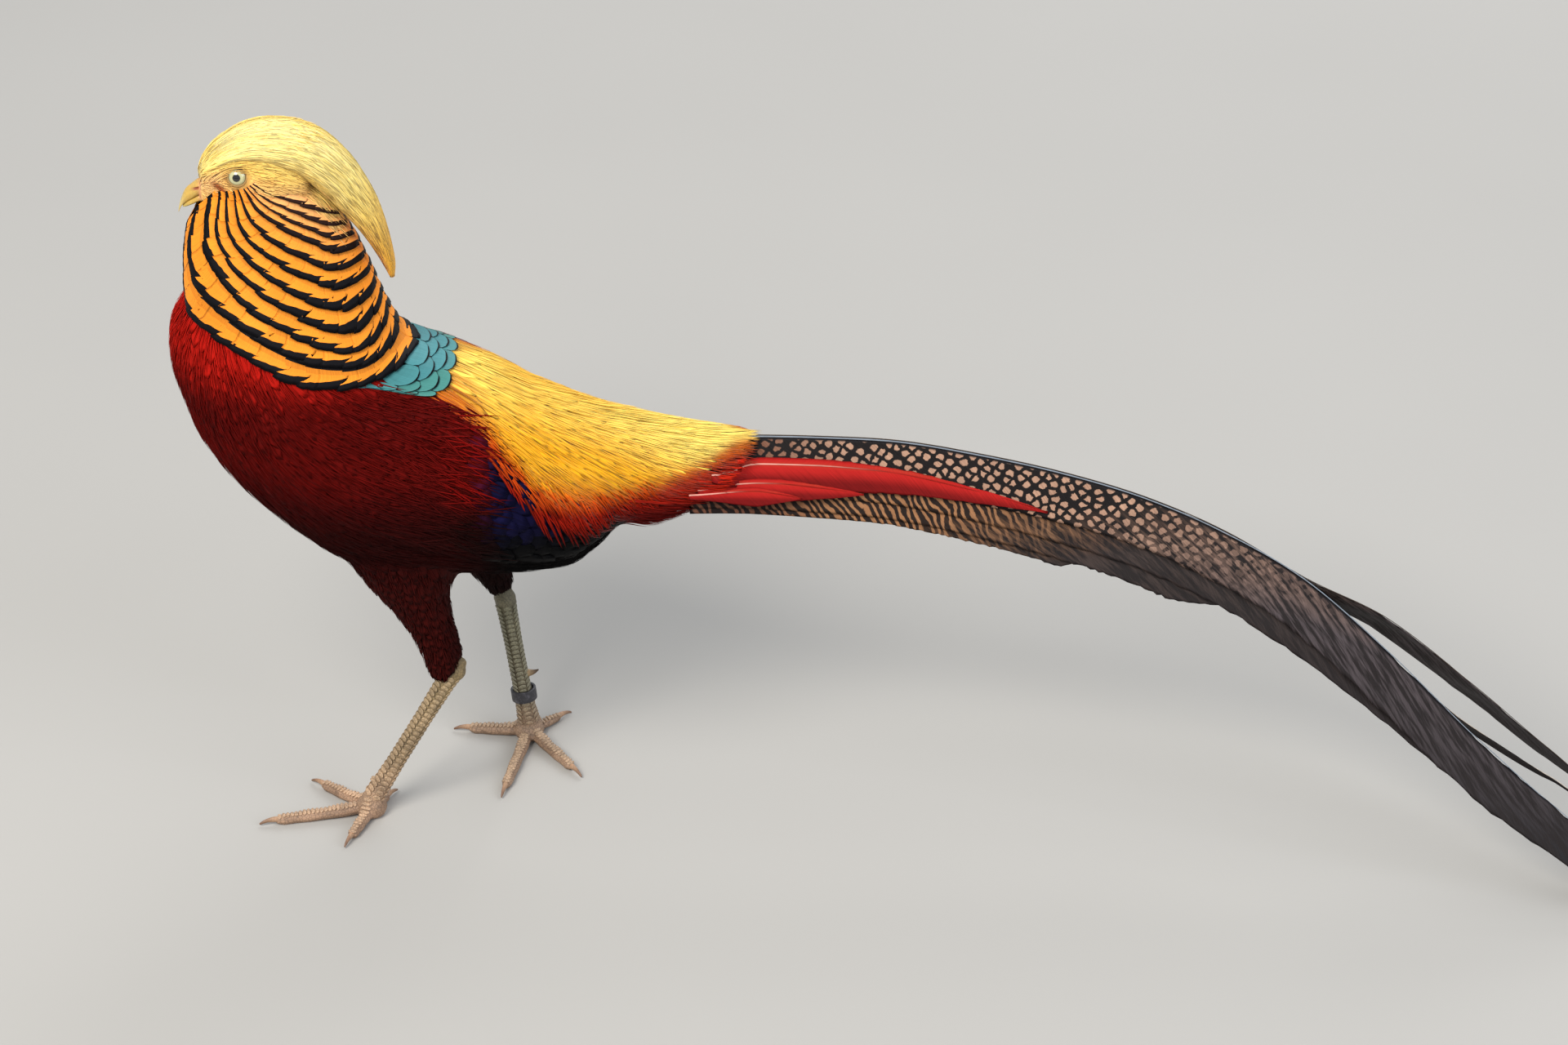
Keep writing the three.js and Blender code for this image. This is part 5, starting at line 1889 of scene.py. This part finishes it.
# %% The patterns of the tail as a material
def tail_ground(bars):
    """Gives the function that builds the pattern: spots in a net, or slanting bars."""
    spot_low, spot_high = ("#83583a", "#a87a54") if bars else ("#906e5c", "#b69078")
    fade_start, fade_end = (205.0, 295.0) if bars else (235.0, 370.0)
    faded_colour = "#3a302d" if bars else "#4c4446"

    def ground(tree):
        chart = add(tree, "ShaderNodeUVMap", uv_map="spots")
        split = add(tree, "ShaderNodeSeparateXYZ", {"Vector": chart})
        across, along = split.outputs["X"], split.outputs["Y"]
        reach = maths(tree, "MULTIPLY_ADD", across, 2.4, along)
        far = grade(tree, reach, fade_start, fade_end)
        last = grade(tree, reach, fade_end, 520.0)
        if bars:
            wobble = noise(tree, chart, 0.07, 1.0, noise_dimensions="2D")
            slant = maths(tree, "MULTIPLY_ADD", across, -0.9, along)
            bent = maths(tree, "MULTIPLY_ADD", wobble, 12.0, slant)
            phase = maths(tree, "MULTIPLY", bent, 1.15)
            wave = maths(tree, "SINE", phase)
            crumbs = noise(tree, chart, 0.35, 3.0, noise_dimensions="2D")
            broken = maths(tree, "MULTIPLY_ADD", crumbs, 2.0, wave)
            light = grade(tree, broken, 0.9, 1.55, 0.03, 0.95, interpolation_type="SMOOTHSTEP")
        else:
            lean = add(tree, "ShaderNodeMapping", {
                "Vector": chart, "Rotation": (0, 0, 0.5), "Scale": (0.22, 0.17, 1),
            })
            ragged = noise(tree, lean, 2.2, 2.0, noise_dimensions="2D")
            bent = add(tree, "ShaderNodeVectorMath", {
                0: ragged.outputs["Color"], 1: (0.34, 0.34, 0), 2: lean,
            }, operation="MULTIPLY_ADD")
            edges = add(tree, "ShaderNodeTexVoronoi", {
                "Vector": bent, "Scale": 1.0, "Randomness": 0.55,
            }, voronoi_dimensions="2D", feature="DISTANCE_TO_EDGE")
            gap = grade(tree, edges, 0.13, 0.22, interpolation_type="SMOOTHSTEP")
            hearts = add(tree, "ShaderNodeTexVoronoi", {
                "Vector": bent, "Scale": 1.0, "Randomness": 0.55,
            }, voronoi_dimensions="2D", feature="F1")
            ball = grade(tree, hearts, 0.44, 0.34, interpolation_type="SMOOTHSTEP")
            light = maths(tree, "MULTIPLY", gap, ball)
        warm = noise(tree, chart, 0.07, 2.0, noise_dimensions="2D")
        buff = blend(tree, warm, paint(spot_low), paint(spot_high))
        by_root = grade(tree, along, 50.0, 5.0)
        buff = blend(tree, by_root, buff, paint("#6b4534"))
        barb_way = add(tree, "ShaderNodeMapping", {
            "Vector": chart, "Rotation": (0, 0, -0.3), "Scale": (2.0, 20.0, 1),
        }, vector_type="TEXTURE")
        parted = noise(tree, barb_way, 1.0, 3.0, 0.6, noise_dimensions="2D")
        streaks = grade(tree, parted, 0.42, 0.62)
        faded = add(tree, "ShaderNodeMix", {
            "Factor": far, "A": light,
            "B": streaks,
        })
        dull = blend(tree, far, buff, paint(faded_colour))
        dull = blend(tree, last, dull, paint("#201e20"))
        net = blend(tree, far, paint("#140f0f"), paint("#221d1d"))
        pattern = blend(tree, faded, net, dull)
        near_ridge = grade(tree, across, 3.2, 2.2)
        ridge = blend(tree, near_ridge, pattern, paint("#1d1a1c"))
        on_shaft = maths(tree, "LESS_THAN", across, off_the_vane / 2)
        return blend(tree, on_shaft, ridge, painted(tree))

    return ground


spotted_vane = plumage("spotted_tail_feather", 0.5, 0.0, contrast=0.18, bump=0.6,
                       spacing=0.9, ground=tail_ground(False))
barred_vane = plumage("barred_tail_feather", 0.55, 0.0, contrast=0.2, bump=0.6,
                      spacing=0.9, ground=tail_ground(True))

# %% Eight tail feathers
# side, ridge, steps, inner and outer edge, layer, share of the tip, width at the root, place of
# the shaft, its colour, and the lead
tail_feathers = {
    # The left central feather's grey quill is a painted highlight along the ridge.
    "left_central": (-1, left_ridge, 22, 0.8, 26, -0.2, 0.3, 1.0, -0.97, "#7d858f", 12),
    "left_side_1": (-1, left_ridge, 17, 13, 36, 1, 0.34, 0.85, -0.3, "#33271e", 30),
    "left_side_2": (-1, left_ridge, 11, 22, 44, 2, 0.16, 0.85, -0.3, "#33271e", 30),
    "left_side_3": (-1, left_ridge, 8, 30, 47, 3, 0.16, 0.85, -0.3, "#33271e", 30),
    "right_central": (1, right_ridge, 21, 1.2, 23, 0, 0.4, 1.0, -0.97, "#4a4038", 12),
    "right_side_1": (1, middle_ridge, 17, 8, 26, 2.2, 0.3, 0.7, -0.8, "#cdbfae", 30),
    "right_side_2": (1, left_ridge, 11, 22, 44, 3.8, 0.16, 0.85, -0.3, "#33271e", 30),
    "right_side_3": (1, left_ridge, 8, 30, 47, 5, 0.16, 0.85, -0.3, "#33271e", 30),
}
thin_quill = 0.42
pale_quill = 0.85
for seed, (name, sizes) in enumerate(tail_feathers.items()):
    side, ridge, steps, inner, outer, layer, tip, root, shaft_at, quill, lead = sizes
    vane, line, down, normal, half = tail_vane(
        side, ridge, steps, tail_step, inner, outer, layer, tip, root, shaft_at, seed, lead)
    thick = pale_quill if name == "right_side_1" else thin_quill
    quill_part = shaft_part(line, down, normal, quill, quill, thick)
    kind = spotted_vane if "central" in name else barred_vane
    add_parts(f"tail_feather_{name}", [vane, quill_part], kind, "plumage_barred",
              f"tail_{name}")

# %% [markdown]
# Six long red coverts lie along the tail's root, three on each side. Each is a lance with a
# pale shaft, painted darker towards its edges as painted shade where the coverts overlap. The
# first is the longest and reaches far down the tail.

# %% Red coverts
covert_shaft = -0.6
covert_root = 0.9


def covert_shades(part, wide):
    """Paints a covert scarlet, a little paler by its shaft and darker to its edges and tip, as
    painted shade where the coverts overlap.
    """
    across = np.clip(part["vane"][:, 1] / wide, 0, 1)
    # Painted shade: darker towards the edges, where the coverts overlap.
    return layers(part["points"], "#aa201d", ("#520b0d", ramp(across, 0.25, 1.0) * 0.8),
                  ("#a8442c", ramp(-across, -0.16, -0.02) * 0.35))


# steps, length of a step, inner and outer edge, layer, share of the tip, lead
coverts = {
    1: (6, 26, 13, 32, -1.3, 0.75, 20), 2: (3, 20, 25, 38, -2.3, 0.7, 26),
    3: (2, 14, 30, 41, -3.3, 0.8, 30),
}
for number, (steps, step, inner, outer, layer, tip, lead) in coverts.items():
    for word, side in (("left", -1), ("right", 1)):
        vane, line, down, normal, half = tail_vane(
            side, left_ridge, steps, step, inner, outer, layer, tip, covert_root, covert_shaft,
            seed=20 + number, lead=lead, rows=50, columns=11, centred=True)
        vane["colour"] = covert_shades(vane, float(half.max()))
        quill_part = shaft_part(line, down, normal, "#dca090", "#8a2018")
        add_parts(f"red_covert_{number}_{word}", [vane, quill_part], crimson_vane,
                  "plumage_crimson", f"covert_{number}_{word}")

# %% [markdown]
# ## Thighs
# The thighs wear short dark maroon feathers that point down and get smaller towards the hock,
# where the scaly leg comes out.

# %% Feathers of the thighs
def thigh_red(points):
    """Dark maroon, blacker behind and inside."""
    x, y, z = points.T
    return layers(points, "#380805", ("#160504", ramp(x, -5, 25)),
                  ("#2e0504", ramp(z, 128, 165)))


thigh_comb = np.array([(-15, 150, 0.35, -0.95), (15, 140, 0.25, -0.97), (0, 100, 0.2, -1.0)])
thigh_way = comb_way(thigh_comb)
small_feathers_below = 112.0
thigh_points = candidates[of_nodes("thigh_left", "thigh_right")]
bare_below = np.where(thigh_points[:, 1] < -5, 76, 96)
thigh_points = thigh_points[thigh_points[:, 2] > bare_below]
is_low = thigh_points[:, 2] < small_feathers_below
thighs = [
    contour_feathers(thigh_points[~is_low], 4.2, 15, 7, thigh_red, seed=27, way=thigh_way,
                     vary=0.05, **even_tone),
    contour_feathers(thigh_points[is_low], 3.0, 9.5, 4.5, thigh_red, seed=28, way=thigh_way,
                     vary=0.05, **even_tone),
    loose_locks(thigh_points, 2.0, 10, 0.45, thigh_red, seed=37, way=thigh_way),
]
add_parts("thigh_feathers", thighs, crimson_vane, "plumage_maroon")

# %% [markdown]
# ## Legs and feet
# A pheasant's leg is bone and tendon in a horny skin. The frame gives the leg as a shank and
# four toes; merged and remeshed finely they become one foot with soft webs between the toes.
# The scutes, the overlapping plates on the front of the leg and the top of each toe, follow
# a path, so Geometry Nodes set them: a plate is instanced on points spaced along the path.

# %% Skin of the legs
legs = {
    "left": {
        "hock": (7.4, -27, 79.5), "foot": (-37, -42.6),
        "toes": [(-94.2, -54.5), (-49, -74.5), (-70.4, -14.9), (-25.2, -23.5)],
        "spur_way": (0.55, 0.83),
    },
    "right": {
        "hock": (31.2, 20, 93), "foot": (41.4, 27.8),
        "toes": [(29.2, -30.4), (1.2, 32.7), (70.2, -11.9), (62.6, 48.4)],
        "spur_way": (1.0, 0.1),
    },
}
ankle_z = 8.0
toe_rise = 4.2
hind_rise = 7.0
claw_tip_z = 2.3
claw_length = 9.0


def scaly_skin(name, low, middle, high):
    """Dry horny skin in small net-like scales, coloured from the toes up to the hock."""
    material, tree = new_material(name)
    chart = add(tree, "ShaderNodeTexCoord")
    split = add(tree, "ShaderNodeSeparateXYZ", {"Vector": chart.outputs["Object"]})
    height = grade(tree, split.outputs["Z"], 0.004, 0.085)
    tones = add(tree, "ShaderNodeValToRGB", {"Fac": height})
    stops = tones.color_ramp.elements
    stops[0].color = paint(low)
    stops[1].color = paint(high)
    stops.new(0.35).color = paint(middle)
    scales = add(tree, "ShaderNodeTexVoronoi", {
        "Vector": chart.outputs["Object"], "Scale": 620.0,
    }, feature="DISTANCE_TO_EDGE")
    grime = noise(tree, chart.outputs["Object"], 90.0, 4.0)
    seams = grade(tree, scales, 0.0, 0.12, 0.5, 1.0)
    stain = grade(tree, grime, 0.35, 0.65, 0.75, 1.15)
    both = maths(tree, "MULTIPLY", seams, stain)
    ground = add(tree, "ShaderNodeVectorMath", {
        0: tones, "Scale": both,
    }, operation="SCALE")
    relief = add(tree, "ShaderNodeBump", {
        "Height": seams, "Strength": 0.5, "Distance": 0.0003,
    })
    shader = add(tree, "ShaderNodeBsdfPrincipled", {
        "Base Color": ground, "Roughness": 0.55,
        "Normal": relief,
    })
    finish_material(tree, shader)
    return material


# Painted shade: the right leg, on the far side, gets darker and greyer copies of the left leg's
# colours.
leg_skins = {
    "left": scaly_skin("scaly_leg_skin", "#a8866c", "#877254", "#88744e"),
    "right": scaly_skin("far_leg_skin_painted_shade", "#9c7e66", "#6e6450", "#66604a"),
}
plate_horns = {
    "left": scaly_skin("horny_leg_plate", "#c8a586", "#a88e6e", "#a38d6a"),
    "right": scaly_skin("far_leg_plate_painted_shade", "#b4967a", "#86806a", "#7c7860"),
}
leg_voxel = 0.0008
leg_swell = 0.0006
knob_radius = 0.0048


def knob_mesh(hock):
    """A ball that rounds the joint at the hock."""
    knob = bmesh.new()
    place = Matrix.Translation(Vector(to_row(np.array(hock) + [0.5, 0, -1.5])))
    bmesh.ops.create_icosphere(knob, subdivisions=3, radius=knob_radius, matrix=place)
    mesh = bpy.data.meshes.new("knob")
    knob.to_mesh(mesh)
    knob.free()
    return mesh


def smoothed(mesh):
    """The mesh with smooth shading."""
    mesh.polygons.foreach_set("use_smooth", np.ones(len(mesh.polygons), dtype=bool))
    return mesh


leg_lie = {}
for word, leg in legs.items():
    nodes = [f"shank_{word}"] + [f"toe_{word}_{number}" for number in (1, 2, 3, 4)]
    meshes = [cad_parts[name].data for name in nodes] + [knob_mesh(leg["hock"])]
    mesh = smoothed(applied(joined(meshes, leg_swell), [
        ("REMESH", {"mode": "VOXEL", "voxel_size": leg_voxel}),
        ("SMOOTH", {"factor": 0.5, "iterations": 6}),
    ]))
    leg_lie[word] = Surface(mesh)
    add_piece(f"leg_{word}", mesh, leg_skins[word], "leg_scale", *nodes)

# %% [markdown]
# The node tree makes one kind of plate, a flattened ball. It turns each plate so that its
# short axis points along the path and its flat side lies on the skin. How wide a plate is at
# each point travels with the path as a named attribute.

# %% A node tree for plates along a path
def plate_tree(material):
    """Plates along a path, with sizes in metres as its inputs."""
    tree = bpy.data.node_groups.new("plates_along_path", "GeometryNodeTree")
    face = tree.interface
    face.new_socket("Geometry", in_out="INPUT", socket_type="NodeSocketGeometry")
    for name, value in (("Spacing", 0.002), ("Plate length", 0.0015), ("Plate height", 0.0005)):
        socket = face.new_socket(name, in_out="INPUT", socket_type="NodeSocketFloat")
        socket.default_value = value
    face.new_socket("Seed", in_out="INPUT", socket_type="NodeSocketInt").default_value = 5
    face.new_socket("Geometry", in_out="OUTPUT", socket_type="NodeSocketGeometry")
    given = tree.nodes.new("NodeGroupInput")
    wide = add(tree, "GeometryNodeInputNamedAttribute", {"Name": "wide"}, data_type="FLOAT")
    away = add(tree, "GeometryNodeInputNamedAttribute", {"Name": "away"},
               data_type="FLOAT_VECTOR")
    along = add(tree, "GeometryNodeInputNamedAttribute", {"Name": "along"},
                data_type="FLOAT_VECTOR")
    path = add(tree, "GeometryNodeMeshToCurve", {"Mesh": given.outputs["Geometry"]})
    points = add(tree, "GeometryNodeCurveToPoints", {
        "Curve": path, "Length": given.outputs["Spacing"],
    }, mode="LENGTH")
    plate = add(tree, "GeometryNodeMeshUVSphere", {"Segments": 14, "Rings": 9, "Radius": 1.0})
    flat = add(tree, "FunctionNodeAlignRotationToVector", {
        "Vector": away,
    }, axis="Z")
    turned = add(tree, "FunctionNodeAlignRotationToVector", {
        "Rotation": flat, "Vector": along,
    }, axis="X", pivot_axis="Z")
    vary = add(tree, "FunctionNodeRandomValue", {
        "Min": 0.9, "Max": 1.1, "Seed": given.outputs["Seed"],
    }, data_type="FLOAT")
    length = maths(tree, "MULTIPLY", given.outputs["Plate length"], vary)
    size = add(tree, "ShaderNodeCombineXYZ", {
        "X": length, "Y": wide,
        "Z": given.outputs["Plate height"],
    })
    placed = add(tree, "GeometryNodeInstanceOnPoints", {
        "Points": points, "Instance": plate,
        "Rotation": turned, "Scale": size,
    })
    real = add(tree, "GeometryNodeRealizeInstances", {"Geometry": placed})
    coated = add(tree, "GeometryNodeSetMaterial", {"Geometry": real})
    coated.inputs["Material"].default_value = material
    result = tree.nodes.new("NodeGroupOutput")
    tree.links.new(coated.outputs["Geometry"], result.inputs["Geometry"])
    return tree


def path_mesh(name, places, away, wide):
    """A polyline that carries the plates' facing, direction and width. Sizes in millimetres."""
    mesh = bpy.data.meshes.new(name)
    edges = [(i, i + 1) for i in range(len(places) - 1)]
    mesh.from_pydata([tuple(p) for p in to_row(places)], edges, [])
    facing = mesh.attributes.new("away", "FLOAT_VECTOR", "POINT")
    ahead = unit(np.gradient(places, axis=0))
    facing.data.foreach_set("vector", unit(away + 0.2 * ahead).reshape(-1))
    heading = mesh.attributes.new("along", "FLOAT_VECTOR", "POINT")
    heading.data.foreach_set("vector", ahead.reshape(-1))
    width = mesh.attributes.new("wide", "FLOAT", "POINT")
    width.data.foreach_set("value", np.asarray(wide, dtype=float) / 1000)
    return mesh


def plates(tree, mesh, spacing, length, height):
    """Runs the tree on one path and returns plain mesh."""
    holder = bpy.data.objects.new("plate_path", mesh)
    bpy.context.scene.collection.objects.link(holder)
    modifier = holder.modifiers.new("plates", "NODES")
    modifier.node_group = tree
    wanted = {"Spacing": spacing / 1000, "Plate length": length / 1000,
              "Plate height": height / 1000}
    for item in tree.interface.items_tree:
        if item.in_out == "INPUT" and item.name in wanted:
            modifier[item.identifier] = wanted[item.name]
    graph = bpy.context.evaluated_depsgraph_get()
    result = bpy.data.meshes.new_from_object(holder.evaluated_get(graph))
    bpy.data.objects.remove(holder)
    return result


scute_trees = {word: plate_tree(plate_horns[word]) for word in legs}
print("plate tree:", len(scute_trees["left"].nodes), "nodes")

# %% Scutes round the shanks and on top of the toes
def on_leg(surface, middles, away):
    """Where rays from outside meet the leg's skin."""
    places = []
    for middle, out in zip(middles, away):
        hit = surface.tree.ray_cast(Vector(middle + out * 14), Vector(-out))[0]
        places.append(middle if hit is None else hit)
    return np.array(places)


def shank_path(word, spin, wide):
    """Down the shank on one side, given by the angle from its front."""
    leg = legs[word]
    share = np.linspace(0.06, 0.95, 30)
    hock = np.array(leg["hock"])
    ankle = np.array([*leg["foot"], ankle_z])
    way = unit(ankle - hock)
    front = np.array([-1.0, 0.0, 0.0])
    front = unit(front - way * (front @ way))
    side = np.cross(way, front)
    out = front * math.cos(spin) + side * math.sin(spin)
    away = np.tile(out, (len(share), 1))
    places = on_leg(leg_lie[word], hock + (ankle - hock) * share[:, None], away)
    return path_mesh("shank_path", places, away, np.full(len(share), wide))


def toe_line(leg, number):
    """The ends of a toe's line, and the share of it where the claw starts."""
    start = np.array([*leg["foot"], hind_rise if number == 3 else toe_rise])
    end = np.array([*leg["toes"][number], claw_tip_z])
    return start, end, 1 - claw_length / np.linalg.norm(end - start)


def toe_path(word, number):
    """Along the top of a toe, from the foot to its claw."""
    start, end, claw_share = toe_line(legs[word], number)
    share = np.linspace(0.18, 0.97, 24)
    away = np.tile([0.0, 0.0, 1.0], (len(share), 1))
    places = on_leg(leg_lie[word], start + (end - start) * (share * claw_share)[:, None], away)
    wide = mix(2.9, 2.0, share) * (0.85 if number == 3 else 1.0)
    wide = wide * (1 + 0.1 * np.cos(share * 6 * math.pi))
    return path_mesh("toe_path", places, away, wide)


# turn from the front in radians, half width
shank_rows = [(-0.62, 2.7), (0.62, 2.7), (-1.75, 2.1), (1.75, 2.1), (2.7, 1.9), (-2.7, 1.9)]
# spacing, half length, half height
shank_plate = (2.9, 1.55, 0.5)
toe_plate = (2.1, 1.15, 0.7)
for word in legs:
    sets = [plates(scute_trees[word], shank_path(word, spin, wide), *shank_plate)
            for spin, wide in shank_rows]
    sets += [plates(scute_trees[word], toe_path(word, number), *toe_plate)
             for number in range(4)]
    add_piece(f"scutes_{word}", smoothed(joined(sets, 0.0)), plate_horns[word], "leg_scale")

# %% [markdown]
# Claws and spurs are horn sheaths, blunt from walking. They are lofts along a bent line.

# %% Claws and spurs
horn_rows = 16
horn_sides = 18
least_height = 0.05
# share of the claw's length, height over the floor, half height
claw_stations = [(-0.14, 2.6, 1.5), (0.1, 3.1, 1.6), (0.5, 2.9, 1.15), (0.85, 1.9, 0.75),
                 (1.0, 1.1, 0.45)]
# distance from the shank's middle, rise, half width
spur_stations = [(1.5, 0.5, 2.5), (4.8, 0, 2.0), (7.6, 0.4, 1.2), (10, 1.6, 0.3)]
spur_share = 0.6


def horn_part(stations, colour_root, colour_tip):
    """A closed horn from stations of x, y, z, half width and half height."""
    station = curve(stations, np.linspace(0, 1, horn_rows))
    line = station[:, :3]
    ahead = unit(np.gradient(line, axis=0))
    side = unit(np.cross(ahead, [0.0, 0.0, 1.0]))
    up = np.cross(side, ahead)
    spins = np.linspace(0, 2 * math.pi, horn_sides + 1)[:-1]
    rings = (line[:, None] + side[:, None] * (np.cos(spins)[None] * station[:, 3:4])[..., None]
             + up[:, None] * (np.sin(spins)[None] * station[:, 4:5])[..., None])
    rings[..., 2] = np.maximum(rings[..., 2], least_height)

    def shade(points):
        first = line[0]
        span = np.linalg.norm(line[-1] - first)
        along = np.linalg.norm(points - first, axis=1) / span
        return layers(points, colour_root, (colour_tip, ramp(along, 0.2, 0.9)))

    return tube_part(rings, shade, body_chart)


for word, leg in legs.items():
    for number in range(4):
        start, end, claw_share = toe_line(leg, number)
        rows = []
        for t, height, half in claw_stations:
            place = start + (end - start) * (claw_share + (1 - claw_share) * t)
            rows.append((place[0], place[1], height, half * 0.8, half))
        claw = horn_part(rows, "#ac896c", "#7a5c48")
        add_parts(f"claw_horn_{word}_{number + 1}", [claw], claw_horn, "horn_claw",
                  f"claw_{word}_{number + 1}")
    hock = np.array(leg["hock"])
    ankle = np.array([*leg["foot"], ankle_z])
    root = hock + (ankle - hock) * spur_share
    way = unit(np.array([*leg["spur_way"], 0.0]))
    rows = [(*(root + way * out + [0, 0, up]), half, half) for out, up, half in spur_stations]
    add_parts(f"spur_horn_{word}", [horn_part(rows, "#a08660", "#4a3626")], claw_horn,
              "horn_claw", f"spur_{word}")

# %% [markdown]
# ## The leg ring
# The ring is a band of dark plastic, a little larger than the leg, so that it slides down to
# the foot. Its edges are rounded by wear and it is bare of any mark.

# %% A bare band round the right leg
ring_inner = 5.4
ring_outer = 6.7
ring_height = 6.5
ring_corner = 0.35
ring_sides = 64
ring_corners = to_bird(np.array([v.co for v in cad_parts["leg_ring"].data.vertices]))
ring_middle = (ring_corners.max(axis=0) + ring_corners.min(axis=0)) / 2
spread = np.linalg.eigh(np.cov((ring_corners - ring_middle).T))
ring_axis = spread[1][:, 0] * np.sign(spread[1][2, 0])


def ring_part():
    """The band as a rounded profile turned about its axis."""
    profile = []
    for at_r, at_h, first in ((ring_outer, 1, 0), (ring_inner, 1, 90), (ring_inner, -1, 180),
                              (ring_outer, -1, 270)):
        r = at_r + (ring_corner if at_r == ring_inner else -ring_corner)
        h = at_h * (ring_height / 2 - ring_corner)
        for angle in (first, first + 30, first + 60, first + 90):
            a = math.radians(angle)
            profile.append((r + ring_corner * math.cos(a), h + ring_corner * math.sin(a)))
    profile = np.array(profile)
    right = unit(np.cross(ring_axis, [1.0, 0.0, 0.0]))
    front = np.cross(ring_axis, right)
    spins = np.linspace(0, 2 * math.pi, ring_sides + 1)[:-1]
    out = right * np.cos(spins)[:, None] + front * np.sin(spins)[:, None]
    rings = (ring_middle + out[:, None] * profile[None, :, 0, None]
             + ring_axis * profile[None, :, 1, None])
    return hoop_part(rings, tint("#38363c", ring_sides * len(profile)), body_chart)


def worn_plastic():
    """Dark plastic, scuffed paler in patches."""
    material, tree = new_material("worn_dark_plastic")
    chart = add(tree, "ShaderNodeTexCoord")
    scuff = noise(tree, chart.outputs["Object"], 420.0, 5.0, 0.7)
    worn = grade(tree, scuff, 0.5, 0.72)
    ground = blend(tree, worn, paint("#29282d"), paint("#55535a"))
    shader = add(tree, "ShaderNodeBsdfPrincipled", {
        "Base Color": ground, "Roughness": 0.45,
    })
    finish_material(tree, shader)
    return material


add_parts("leg_band", [ring_part()], worn_plastic(), "ring_band", "leg_ring")

# %% Finish
print("triangles in all:", total_triangles)
